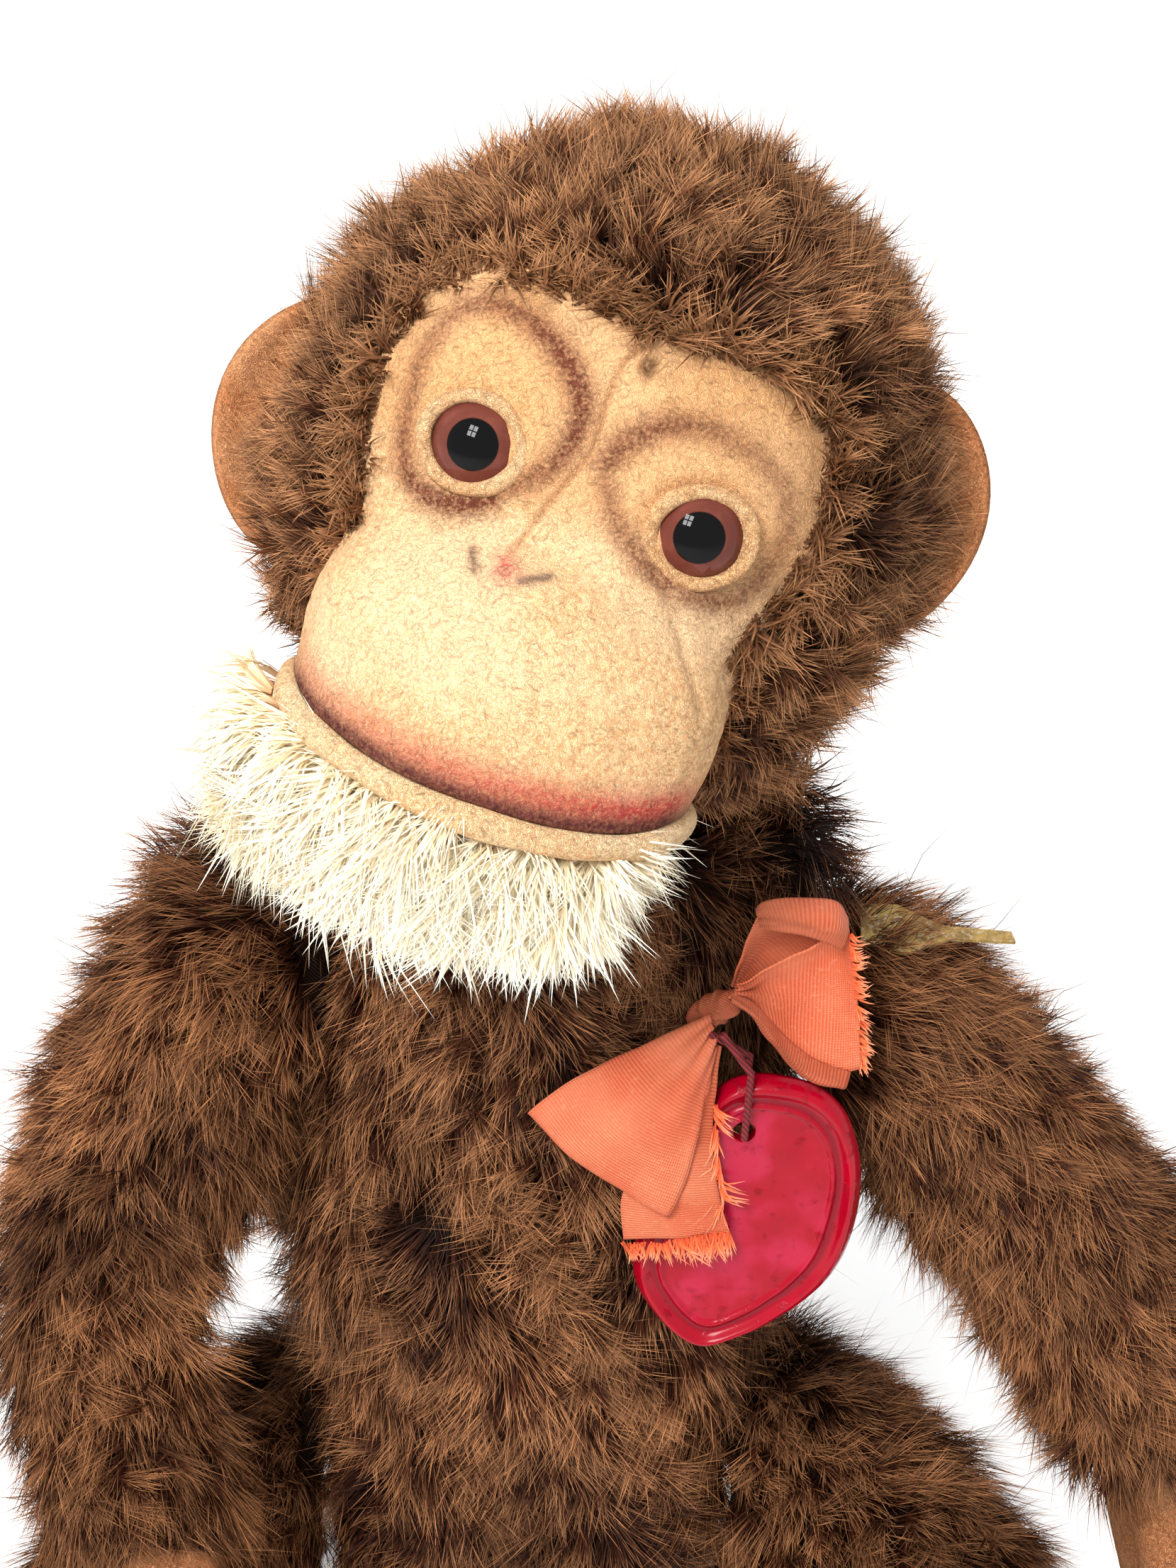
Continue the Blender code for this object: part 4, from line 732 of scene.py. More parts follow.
# Its near-black root colour is painted shade deep in the pile.
head_pile = surface("head_mohair", pile_finish(
    tone(14, 5, 2), tone(78, 44, 25), tone(196, 142, 98), (0.17, 0.15, 0.13), (0.98, 0.95, 0.90)))
hairline = apart < 3.4
front = (spots[:, 1] < 2) & ~hairline
for part, chosen in (("front", front), ("back", ~front & ~hairline)):
    mesh = grow_pile("head_pile_" + part, roots[chosen], outward[chosen], head_lay[chosen], hair[chosen],
                     0.74 - 0.14 * near_face[chosen], 0.2 * MM, head_shade[chosen], 84, sway=0.7)
    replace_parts(piece("head_pile_" + part, mesh, head_pile, "head"), "head_cover")
shorn = surface("shorn_mohair", pile_finish(
    tone(92, 58, 36), tone(124, 82, 52), tone(186, 136, 94), (0.38, 0.36, 0.34), (0.80, 0.78, 0.75)))
mesh = grow_pile("hairline_pile", roots[hairline], outward[hairline], head_lay[hairline], 4.4 * MM,
                 0.66, 0.3 * MM, head_shade[hairline], 86, tuft=9, sway=1.4, gather=0.5, stray=0.22)
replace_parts(piece("hairline_pile", mesh, shorn, "head"), "head_cover")

scalp = bmesh.new()
bmesh.ops.create_uvsphere(scalp, u_segments=96, v_segments=64, radius=1)
places = places_of(scalp) * (head_radii - HEAD_INSET) + SKULL_MIDDLE
places = swollen(places * MM, sized((places - SKULL_MIDDLE) / head_radii ** 2), HEAD_LUMPS) / MM
under_lip = (places[:, 1] < -8) & (places[:, 2] < -20) & (np.abs(places[:, 0]) < 25)
sunk = ((edge_distance(places) < -0.3) | under_lip)[:, None]
places = np.where(sunk, (places - SKULL_MIDDLE) * (SKULL + 0.5) / (head_radii - HEAD_INSET) + SKULL_MIDDLE,
                  places)
set_places(scalp, in_place(places))
hollow = [v for v, d in zip(scalp.verts, np.linalg.norm(places - NECK, axis=1)) if d < NECK_HOLLOW]
bmesh.ops.delete(scalp, geom=hollow, context="VERTS")
piece("head_backing", scalp, backing, "head")


# Face
# One piece of tan felt drawn over brow and muzzle, with a dart sewn down the forehead. Rings round the eyes,
# the lips, nostrils and nose are sprayed and painted on, and soak into the fibres.
FELT_OUT = 2.3


def face_surface(points, soft=5.0):
    """About how far points lie outside the felt, whose skull and muzzle run into each other."""
    skull = egg(points, SKULL_MIDDLE, SKULL + FELT_OUT)
    snout = egg(points - np.minimum(points[:, 2:] - MUZZLE_MIDDLE[2], 0) * [[0, 0, 0.6]], MUZZLE_MIDDLE, MUZZLE)
    mix = unit(0.5 + 0.5 * (snout - skull) / soft)
    return snout * (1 - mix) + skull * mix - soft * mix * (1 - mix)


def line_distance(points, line):
    """How far points lie from a broken line, all seen from in front, and how far along it."""
    best, along, walked = np.full(len(points), 1e9), np.zeros(len(points)), 0.0
    line = np.array(line, float)
    for a, b in zip(line[:-1], line[1:]):
        t = unit(((points - a) @ (b - a)) / ((b - a) ** 2).sum())
        gap = np.linalg.norm(points - a - t[:, None] * (b - a), axis=1)
        closer = gap < best
        best = np.where(closer, gap, best)
        along = np.where(closer, walked + t * np.linalg.norm(b - a), along)
        walked += np.linalg.norm(b - a)
    return best, along / walked


def rounded(line, times=2):
    """A broken line with its corners cut, so that it reads as a curve."""
    line = np.array(line, float)
    for _ in range(times):
        cut = [line[:-1] * 0.75 + line[1:] * 0.25, line[:-1] * 0.25 + line[1:] * 0.75]
        line = np.concatenate([line[:1], np.stack(cut, 1).reshape(-1, 2), line[-1:]])
    return line


def bell(values, width):
    """1 where the values are 0, and falling softly within width."""
    return np.exp(-(values / width) ** 2)


def stroke(line, width):
    """A painted or sewn line on the felt."""
    return bell(line_distance(flat, line)[0], width)


EYES = {"left": (13.6, -29.5, 2.0), "right": (-12.2, -29.8, 2.8)}
EYE_RADIUS = 5.9
MOUTH_RISE, MOUTH_SLOPE = -28.6, math.tan(math.radians(11))
BROW_RIGHT = rounded([
    (-8.4, -1.6), (-11.7, -4.2), (-16, -4.9), (-19.5, -3), (-21.5, 2.4), (-22, 9.1), (-20.2, 14.9),
    (-17.2, 17.3), (-12.8, 17.6), (-7.5, 15.9), (-3.4, 12.2), (-2.2, 8.5), (-3.4, 4), (-8.4, -1.6)])
BROW_LEFT = rounded([
    (1.6, 5.5), (3, 9.6), (7.5, 13), (14.2, 13.2), (20.5, 10.7), (23.2, 6.4), (22.9, 1.1), (21.3, -3),
    (18.5, -4.8), (13.5, -4.6), (8.7, -2.9), (4.2, 1.4), (1.6, 5.5)])
SEAM = rounded([
    (1.1, 19.1), (-0.6, 16.6), (-0.6, 12.2), (-0.1, 8.3), (-0.4, 6.2), (-1.2, 3.6), (-2.6, 0), (-3.9, -4.0),
    (-4.6, -6)])
CREASE_RIGHT = rounded([(-23, -11.4), (-20.7, -9.8), (-17.1, -6.6), (-12.9, -4.6), (-9.2, -3.6)])
CREASE_LEFT = rounded([(10.5, -3.6), (13.5, -6), (16.4, -9), (19.4, -12.5), (21.5, -16)])

felt_sheet = bmesh.new()
bmesh.ops.create_grid(felt_sheet, x_segments=230, y_segments=190, size=1)
grid = places_of(felt_sheet)
lon, lat = grid[:, 0] * math.radians(88), grid[:, 1] * math.radians(56) - math.radians(2)
aim = np.stack([np.sin(lon) * np.cos(lat), -np.cos(lon) * np.cos(lat), np.sin(lat)], 1)
heart = np.array([0, -8.0, -6.0])
far = np.full(len(aim), 40.0)
for _ in range(40):
    far = far - 0.8 * face_surface(heart + aim * far[:, None])
places = heart + aim * far[:, None]
flat = places[:, [0, 2]]
mouth_over = places[:, 2] - (MOUTH_RISE + (places[:, 1] - MUZZLE_MIDDLE[1]) * MOUTH_SLOPE)
mouth_wide = unit((26 - np.abs(flat[:, 0])) / 4)
off_skull = egg(places, SKULL_MIDDLE, SKULL + FELT_OUT)
ring = np.zeros(len(places))
for line, strong in ((BROW_RIGHT, 1.0), (BROW_LEFT, 0.85)):
    gap, along = line_distance(flat, line)
    weight = 0.55 + 0.45 * np.sin(along * 2 * np.pi * 1.5 + 1)
    ring = np.maximum(ring, strong * bell(gap, 1.35 + 0.6 * weight) * (0.62 + 0.38 * weight))
layers = {
    "sunned": unit((flat[:, 1] + 7) / 9) * unit((egg(places, MUZZLE_MIDDLE, MUZZLE) - 1) / 3),
    "ring": ring,
    "rosy": (bell(mouth_over - 3.0, np.where(mouth_over > 3.0, 2.7, 3.8)) * mouth_wide
             * (0.75 + 0.25 * np.clip(flat[:, 0] / 20, -1, 1))),
    # A dark line just above the lower edge of the muzzle, where it meets the lip: partly a painted mouth line,
    # partly painted shade in the crease.
    "dusk": bell(mouth_over - 0.8, 1.5) * mouth_wide,
    "seam": stroke(SEAM, 0.35),
    "nose": bell(np.hypot(flat[:, 0] + 4.4, (flat[:, 1] + 7.8) * 1.1), 1.7),
    "nostril": np.maximum(stroke([(-8.6, -7.6), (-7.6, -8.9)], 0.55),
                          stroke([(-2.4, -8.4), (0.4, -7.2)], 0.5)),
    "hole": np.exp(-(np.hypot((flat[:, 0] - 2.4) * 1.3, flat[:, 1] - 17.2) / 1.5) ** 4),
}
crease = stroke(CREASE_RIGHT, 0.7) + stroke(CREASE_LEFT, 0.7)
orbit = sum(bell(np.hypot(flat[:, 0] - x, flat[:, 1] - z) - 7.4, 1.6) for x, y, z in EYES.values())
lumps = waves(places * MM, 12, 8, 22, 91)[0] * 0.22 + waves(places * MM, 12, 2, 5, 92)[0] * 0.05
puff = 0.5 * orbit - (0.45 * layers["seam"] + 0.55 * unit(crease) + 0.5 * layers["hole"] - lumps)
slope = sized(np.stack([
    face_surface(places + step) - face_surface(places - step) for step in np.eye(3) * 0.01], 1))
set_places(felt_sheet, in_place(places + slope * puff[:, None]))
on_muzzle = (mouth_over > 0) & (off_skull > 1.5)
shown = (mouth_over > -0.3) & ((edge_distance(places) < 0.6) | on_muzzle)
for name, values in layers.items():
    layer = felt_sheet.verts.layers.float.new(name)
    for vertex, value in zip(felt_sheet.verts, values):
        vertex[layer] = value
bmesh.ops.delete(felt_sheet, geom=[v for v, seen in zip(felt_sheet.verts, shown) if not seen], context="VERTS")
for _ in range(8):
    even = []
    for vertex in felt_sheet.verts:
        if vertex.is_boundary:
            beside = [e.other_vert(vertex).co for e in vertex.link_edges if e.is_boundary]
            even.append((vertex, vertex.co * 0.4 + sum(beside, Vector()) * (0.6 / len(beside))))
    for vertex, place in even:
        vertex.co = place
rim = [e for e in felt_sheet.edges if e.is_boundary]
heart_world = Vector(in_place(np.array([[0, -8, -8.0]]))[0])
for vertex in bmesh.ops.extrude_edge_only(felt_sheet, edges=rim)["geom"]:
    if isinstance(vertex, bmesh.types.BMVert):
        vertex.co += (heart_world - vertex.co).normalized() * 2.4 * MM
bmesh.ops.recalc_face_normals(felt_sheet, faces=felt_sheet.faces)


def face_felt(base):
    place = base.coords()
    paint = {name: base.node("Attribute", {"attribute_name": name}, {}, 2) for name in layers}
    mat = place.noise(1300.0, 4.0, 0.65)
    fleck = place.noise(2100.0, 2.0, 0.6)
    patch = place.noise(60.0, 3.0)
    hair = place.bands(240.0, 70.0, 3.0, 3.0)
    broken = fleck.clear(0.34, 0.6) * 0.55 + mat.clear(0.35, 0.6) * 0.45
    colour = painted(
        mat.clear(0.36, 0.62).blend(tone(228, 170, 116), tone(250, 204, 150)),
        (patch.clear(0.4, 0.62) * 0.6, (252, 212, 166)),
        (fleck.clear(0.58, 0.70) * 0.32, (190, 128, 82)),
        (hair.clear(0.8, 1.0) * 0.4, (255, 234, 196)),
        (paint["sunned"] * (mat * 0.5 + 0.25), (216, 148, 88)),
        (paint["ring"] * (broken * 0.6 + 0.56), (116, 64, 46)),
        (paint["rosy"] * (broken * 0.45 + 0.66), (196, 78, 68)),
        (paint["nose"] * (broken * 0.7 + 0.3), (204, 92, 82)),
        # Partly a painted mouth line, partly painted shade where the muzzle meets the lip.
        (paint["dusk"] * (broken * 0.3 + 0.74), (92, 46, 44)),
        (paint["nostril"] * 0.85, (112, 86, 76)),
        (paint["seam"] * 0.5, (150, 100, 62)),
        (paint["hole"] * (broken * 0.4 + 0.6), (112, 80, 52)))
    return {"Base Color": colour, "Roughness": 0.95, "Specular IOR Level": 0.1,
            "Height": (mat * 0.5 + fleck * 0.3 + hair * 0.2, 0.0004)}


face = piece("face", felt_sheet, surface("face_felt", face_felt), "head")
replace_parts(face, "face_felt", "muzzle")

# Lower lip
# A narrow strip of the same felt rolled under the mouth from corner to corner.
LIP_DROP = 1.75
lip_felt = surface("lip_felt", felt((232, 172, 118), (253, 210, 156), (255, 234, 192)))
lip = bmesh.new()
bmesh.ops.create_grid(lip, x_segments=150, y_segments=24, size=1)
grid = places_of(lip)
sweep, roll = grid[:, 0] * math.radians(100), grid[:, 1] * math.pi
share = np.full(len(grid), 0.8)
for _ in range(12):
    ahead = MUZZLE_MIDDLE[1] - MUZZLE[1] * share * np.cos(sweep)
    lip_level = MOUTH_RISE + (ahead - MUZZLE_MIDDLE[1]) * MOUTH_SLOPE - LIP_DROP
    share = np.sqrt(np.clip(1 - (0.4 * (lip_level - MUZZLE_MIDDLE[2]) / MUZZLE[2]) ** 2, 0.05, 1))
ends = unit((1 - np.abs(grid[:, 0])) / 0.10) ** 0.5
thick = (1.6 + 0.12 * np.sin(sweep * 5 + 1) + 0.08 * np.sin(sweep * 13)) * (0.3 + 0.7 * ends)
out = 0.1 + thick * 0.95 * np.cos(roll)
set_places(lip, in_place(np.stack([
    (MUZZLE[0] * share + out) * np.sin(sweep), ahead - out * np.cos(sweep),
    lip_level + thick * 1.08 * np.sin(roll)], 1)))
bmesh.ops.remove_doubles(lip, verts=lip.verts, dist=1e-6)
bmesh.ops.holes_fill(lip, edges=[e for e in lip.edges if e.is_boundary])
bmesh.ops.recalc_face_normals(lip, faces=lip.faces)
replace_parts(piece("lip", lip, lip_felt, "head"), "lower_lip")


# Eyes
# Solid brown glass with a black pupil behind a clear dome, held by a wire shank, in a lid of rolled felt.
def eye_glass(side, spot):
    centre = in_place(np.array([spot]))[0]
    gaze = turned @ np.array([side * 0.10, -1.0, 0.02])
    gaze /= np.linalg.norm(gaze)

    def make(base):
        place = base.coords()
        offset = place.node("VectorMath", {"operation": "SUBTRACT"}, {0: place, 1: tuple(centre)})
        ahead = offset.node("VectorMath", {"operation": "DOT_PRODUCT"}, {0: offset, 1: tuple(gaze)}, 1)
        ahead = ahead / (EYE_RADIUS * MM)
        iris = painted(ahead.clear(0.30, 0.7).blend(tone(34, 14, 10), tone(100, 50, 40)),
                       (place.noise(500.0, 2.0).clear(0.4, 0.7) * 0.35, (132, 72, 58)))
        return {"Base Color": painted(iris, (ahead.clear(0.862, 0.876), (6, 5, 5))), "Roughness": 0.03,
                "Specular IOR Level": 0.13}
    return surface(("left" if side > 0 else "right") + "_eye_glass", make)


LID_RADIUS, LID_WIDE, LID_HIGH = 5.7, 1.0, 0.95
EYE_DEPTH = 32.8
lid_felt = surface("lid_felt", felt((200, 142, 92), (238, 184, 130), (250, 214, 166)))
for name, side in (("left", 1), ("right", -1)):
    spot = EYES[name]
    ball = bmesh.new()
    bmesh.ops.create_uvsphere(ball, u_segments=64, v_segments=40, radius=EYE_RADIUS)
    set_places(ball, in_place(places_of(ball) + spot))
    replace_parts(piece(name + "_eye_ball", ball, eye_glass(side, spot), "head"), name + "_eye")
    lid = bmesh.new()
    ringed = [lid.verts.new((LID_RADIUS + LID_WIDE * math.cos(a), 0, LID_HIGH * math.sin(a)))
              for a in np.arange(0, 2 * np.pi, np.pi / 9)]
    for a, b in zip(ringed, ringed[1:] + ringed[:1]):
        lid.edges.new((a, b))
    bmesh.ops.spin(lid, geom=lid.verts[:] + lid.edges[:], cent=(0, 0, 0), axis=(0, 0, 1),
                   angle=2 * math.pi, steps=72, use_merge=True)
    lean = math.atan2(spot[0] * SKULL[1] ** 2, EYE_DEPTH * SKULL[0] ** 2)
    stand = Matrix.Translation(spot) @ Matrix.Rotation(lean * 0.6, 4, "Z") @ Matrix.Translation((0, -3.4, 0)) \
        @ Matrix.Rotation(math.pi / 2, 4, "X")
    seat = np.array([stand @ Vector((v.co.x, v.co.y * 0.9, v.co.z)) for v in lid.verts])
    set_places(lid, in_place(seat + 0.18 * waves(seat * MM, 10, 3, 9, 95 + side)[1]))
    bmesh.ops.recalc_face_normals(lid, faces=lid.faces)
    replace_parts(piece(name + "_lid", lid, lid_felt, "head"), name + "_eyelid")


# Ears
# Cups of orange tan felt sewn into slits in the plush, one higher than the other.
def ringed_disc(segments, shares):
    """A flat disc of radius 1, with rings at the given steps inwards."""
    form = bmesh.new()
    bmesh.ops.create_circle(form, cap_ends=True, segments=segments, radius=1.0)
    for share in shares:
        centre = max(form.faces, key=lambda f: len(f.verts))
        bmesh.ops.inset_region(form, faces=[centre], thickness=share, depth=0, use_boundary=True)
    return form


def polar(form):
    places = places_of(form)
    return places, np.hypot(places[:, 0], places[:, 1]), np.arctan2(places[:, 1], places[:, 0])


ear_felt = surface("ear_felt", felt((190, 108, 60), (222, 142, 88), (244, 186, 136)))
for name, side in (("left", 1), ("right", -1)):
    ear = ringed_disc(64, [share * 0.85 for share in (0.1, 0.12, 0.14, 0.16, 0.18, 0.2)])
    places, radius, around = polar(ear)
    cup = 4.5 * (1 - radius ** 2) - 0.5 * unit((radius - 0.8) / 0.2) ** 2
    set_places(ear, in_place(np.stack([
        side * 32.5 + places[:, 0] * (13.1 + 0.4 * np.sin(3 * around + side)),
        4 - 4.5 + cup + 0.35 * np.sin(4 * around + 2 * side) * radius,
        side * 7.2 + places[:, 1] * (16.6 + 0.5 * np.sin(2 * around + 1))], 1)))
    bmesh.ops.recalc_face_normals(ear, faces=ear.faces)
    bmesh.ops.solidify(ear, geom=ear.faces[:], thickness=1.7 * MM)
    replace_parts(piece(name + "_ear_felt", ear, ear_felt, "head"), name + "_ear")

# Beard
# A band of long cream mohair sewn under the lip, in loose tufts that fan down and out.
# Its left end is drawn in, so that it stops where the lip stops.
CHIN_END, DRAWN_IN = 15.5, 0.75
# Its tan root colour is painted shade between the tufts.
cream_pile = surface("cream_mohair", pile_finish(
    tone(200, 152, 106), tone(252, 236, 198), tone(255, 253, 240), (0.40, 0.36, 0.31), (0.56, 0.56, 0.56)))
chin_wall = outer_wall("beard", 40 * MM)
spots, outward = scattered(chin_wall, 52000, 101)
local = (spots - middle) @ turned / MM
facing = outward @ turned
rng = np.random.default_rng(103)
side_on = unit(facing[:, 0] / 0.3)
past = np.maximum(local[:, 0] - CHIN_END, 0)
local[:, 0] -= DRAWN_IN * past
spots = spots - turned[:, 0] * (DRAWN_IN * MM * past)[:, None]
on_chin = (local[:, 1] < -14 + 14 * side_on) & (local[:, 2] > -51) \
    & (local[:, 0] + 0.9 * np.clip(-local[:, 2] - 41, 0, 20) < 19.5)
outer = (facing[:, 1] < 0.35 + 0.5 * side_on) & (facing[:, 2] < 0.7)
kept = on_chin & outer & (rng.random(len(local)) > 0.55 * (past > 0) * (1 - side_on))
spots, outward, local, side_on = (values[kept][:33000] for values in (spots, outward, local, side_on))
fan = np.stack([np.where(local[:, 0] < 0, 0.04, 0.012) * local[:, 0], np.full(len(local), -0.25),
                np.full(len(local), -1.0)], 1) @ turned.T
lay = level(fan + 0.35 * waves(spots, 12, 8, 22, 102)[1], outward)
hair = (9.5 + 3.2 * rng.random(len(spots)) + 1.0 * waves(spots, 8, 8, 20, 104)[0]) * MM * (1 - 0.12 * side_on)
mesh = grow_pile(
    "beard_pile", spots - outward * 2.0 * MM + turned[:, 2] * 2.2 * MM, outward, lay, hair, 0.40, 0.42 * MM,
    shades(spots, 105, 0.55), 106, tuft=14, sway=0.42, gather=0.6, bends=2, stray=0.08, loose=0.0)
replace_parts(piece("beard_pile", mesh, cream_pile, "head"), "beard")


def chin_cloth(base):
    fibre = base.coords().drawn(0.2).noise(1400.0, 3.0)
    return {"Base Color": fibre.blend(tone(200, 164, 122), tone(240, 216, 176)), "Roughness": 0.95,
            "Height": (fibre, 0.0004)}


places, outward = places_of(chin_wall), np.array([v.normal for v in chin_wall.verts])
past = np.maximum((places - middle) @ turned[:, 0] - CHIN_END * MM, 0)[:, None]
set_places(chin_wall, places - outward * 2.4 * MM + turned[:, 2] * 2.4 * MM - turned[:, 0] * DRAWN_IN * past)
chin = piece("beard_backing", chin_wall, surface("chin_cloth", chin_cloth), "head")


# Bow
# A limp bow of ribbed coral ribbon, about 22 mm wide, faded and frayed, pinned to the chest under the chin.
def ribbed_silk(base):
    both = base.node("UVMap", {"uv_map": "weave"})
    rib = base.math("SINE", both.along(1) * 15000.0)
    warp = base.math("SINE", both.along(0) * 21000.0)
    place = base.coords()
    thread = place.noise(1900.0, 2.0)
    colour = painted((rib * 0.5 + 0.5).blend(tone(206, 88, 56), tone(236, 122, 82)),
                     (place.noise(90.0, 3.0).clear(0.35, 0.68) * 0.5, (244, 144, 104)),
                     (thread.clear(0.55, 0.75) * 0.25, (250, 176, 138)))
    return {"Base Color": colour, "Roughness": 0.5, "Specular IOR Level": 0.3,
            "Height": (rib * 0.4 + warp * 0.25 + thread * 0.3, 0.00012)}


RIBBON_WIDTH = 0.022
coral = surface("ribbed_silk", ribbed_silk)
frayed = surface("frayed_silk", pile_finish(
    tone(214, 84, 48), tone(240, 116, 72), tone(252, 170, 132), (0.36, 0.33, 0.30), (0.62, 0.62, 0.62)))


def in_between(rows, steps):
    """Points on smooth curves through rows of points, with steps of them from each row to the next."""
    rows = np.array(rows, float)
    rows = np.concatenate([2 * rows[:1] - rows[1:2], rows, 2 * rows[-1:] - rows[-2:-1]])
    found = []
    for a, b, c, d in zip(rows, rows[1:], rows[2:], rows[3:]):
        for t in np.arange(steps) / steps:
            found.append(0.5 * (2 * b + (c - a) * t + (2 * a - 5 * b + 4 * c - d) * t * t
                                + (3 * b - a - 3 * c + d) * t ** 3))
    return np.array(found + [rows[-2]])


def drape(form, rows, turn, crease, seed):
    """Adds a sheet of ribbon through rows of (across, up, ahead) in millimetres from the knot. crease is how
    deep its gathers are."""
    net = in_between(in_between(rows, 12).transpose(1, 0, 2), 10).transpose(1, 0, 2)
    high, broad = net.shape[:2]
    face_way = sized(np.cross(np.gradient(net, axis=1), np.gradient(net, axis=0)))
    face_way *= np.where(face_way[:, :, 2:] > 0, 1, -1)
    v, u = np.meshgrid(np.linspace(0, 1, high), np.linspace(0, 1, broad), indexing="ij")
    folds = np.sin(u * 19 + seed) * np.exp(-v * 4) + 0.35 * np.sin(u * 9 + v * 5 + seed * 2) * np.exp(-v * 1.2)
    rough = waves(net.reshape(-1, 3) * MM, 10, 4, 10, seed)[0].reshape(high, broad)
    net = net + face_way * (crease * folds + 0.16 * rough)[:, :, None]
    long = np.linalg.norm(np.diff(net.mean(1), axis=0), axis=1).sum() * MM
    tilt = Matrix.Rotation(math.radians(turn), 3, "Z") @ Matrix.Rotation(math.radians(82), 3, "X")
    chart = form.loops.layers.uv.verify() if form.loops.layers.uv else form.loops.layers.uv.new("weave")
    made = [form.verts.new(spot) for spot in net.reshape(-1, 3) * MM @ np.array(tilt).T + KNOT]
    for i in range(high - 1):
        for j in range(broad - 1):
            near = [(i, j), (i, j + 1), (i + 1, j + 1), (i + 1, j)]
            patch = form.faces.new([made[r * broad + c] for r, c in near])
            for corner, (r, c) in zip(patch.loops, near):
                corner[chart].uv = (u[r, c] * RIBBON_WIDTH, v[r, c] * long)


def ribbon(name, form, body, stands_for):
    area = sum(face.calc_area() for face in form.faces)
    ob = piece(name, form, coral, body)
    thicken = ob.modifiers.new("thickness", "SOLIDIFY")
    thicken.thickness, thicken.offset = 0.25 * MM, 0
    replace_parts(ob, *stands_for)
    max(area / RIBBON_WIDTH, 0.0101)


def fringe(name, start, end, way, count, length, seed, body):
    """Loose threads along a cut end of the ribbon, whose ends are in millimetres from the knot."""
    rng = np.random.default_rng(seed)
    share = rng.random(count)[:, None]
    start, end = KNOT + np.array(start) * MM, KNOT + np.array(end) * MM
    roots = start * (1 - share) + end * share + rng.normal(0, 0.15 * MM, (count, 3))
    normals = sized(np.tile([0.0, -1.0, 0.15], (count, 1)))
    lay = level(np.array(way) + rng.normal(0, 0.2, (count, 3)), normals)
    mesh = grow_pile(name, roots, normals, lay, length * MM, 0.2, 0.3 * MM, 0.5, seed + 1, tuft=6, sway=0.2,
                     gather=0.3, bends=2, stray=0.08)
    piece(name, mesh, frayed, body)


upper = bmesh.new()
drape(upper, [
    [(2.2, 5.6, 2.6), (2, 5.3, 3), (1.6, 4.9, 3), (1.3, 4.5, 2.6)],
    [(5.5, 7.8, 2), (6, 5.4, 1.2), (6.6, 3, 2), (7.2, 0.2, 3.4)],
    [(11, 11, 2), (11.2, 7, 0.4), (11.3, 1.5, 1.4), (11.3, -4, 3.8)],
    [(14.2, 13.4, 2.4), (15, 9, 0.8), (15.6, 2, 2), (15.8, -6.2, 3.8)],
    [(15.6, 14.4, 3.2), (16.8, 9.4, 1.8), (17.8, 3, 3.4), (19.2, -5.6, 3.6)]], 4, 0.45, 3)
drape(upper, [
    [(1.4, 5, 1.4), (2, 4.6, 1.2), (2.6, 4.2, 1.6)], [(2.3, 8.4, 1), (4.2, 7.4, -0.4), (6.6, 4.6, 0)],
    [(3.4, 12, 0.8), (7, 11, -1.6), (12, 7, -0.6)], [(4.8, 15.2, 0.8), (9.4, 15, -1.2), (15.4, 10.6, -0.4)]],
    4, 0.3, 7)
drape(upper, [
    [(4, 15.7, 0.8), (4.3, 14.8, 2.2), (4.6, 13.6, 1.6)], [(5.2, 16.7, 0.6), (6, 15.6, 3.8), (6.4, 13.8, 2.8)],
    [(9.2, 17.6, 0.6), (9.4, 15.9, 4.6), (9.6, 13.7, 3.4)],
    [(13.8, 17.2, 0.6), (13.4, 15.1, 4.6), (13, 12.7, 3.4)],
    [(15.8, 15.2, 1.2), (15.5, 13.8, 3.6), (15, 11.6, 3)]], 4, 0.12, 4)
drape(upper, [
    [(1.4, 4.9, 2.8), (1.5, 4.3, 3.8), (1.6, 3.6, 3)], [(5, 3.3, 3.2), (4.8, 2.2, 4.9), (4.6, 1.1, 3.4)],
    [(8.2, -0.1, 3.6), (7.8, -1.4, 5.3), (7.4, -2.5, 3.6)],
    [(12.2, -3.9, 3.8), (11.8, -5.4, 5.3), (11.4, -6.5, 3.6)],
    [(17.8, -6, 3.8), (17.2, -7.6, 4.9), (16.8, -8.7, 3.4)]], 4, 0.18, 5)
ribbon("ribbon_upper_loop", upper, "torso", ["ribbon_left_loop"])
fringe("upper_fringe", (15.8, 0.2, 14), (19.4, -2.8, -5.3), (1, 0, -0.35), 150, 2.2, 131, "torso")

lower = bmesh.new()
drape(lower, [
    [(-0.8, 1.6, 3), (-0.4, 0.4, 3.6), (0, -0.8, 3.6), (0.4, -2.2, 3)],
    [(-8, -2.8, 3.5), (-5.5, -4.5, 5.8), (-3, -6.5, 6.2), (-0.4, -9, 5)],
    [(-14, -6.6, 3.5), (-10.5, -9.5, 7.2), (-6.5, -12.5, 7.4), (-1, -15.5, 5.6)],
    [(-19, -10.5, 3.2), (-15, -14.5, 6.6), (-9.5, -18.5, 7.2), (-2, -22, 6)],
    [(-23.2, -15, 3), (-17, -20.6, 4.6), (-10.4, -24.2, 5.6), (-4, -27.8, 6)],
    [(-19.5, -13, 1.6), (-15.5, -17, 2.2), (-9.5, -20.5, 3.6), (-4, -23, 4.8)]], 0, 0.45, 6)
ribbon("ribbon_lower_loop", lower, "torso", ["ribbon_right_loop"])

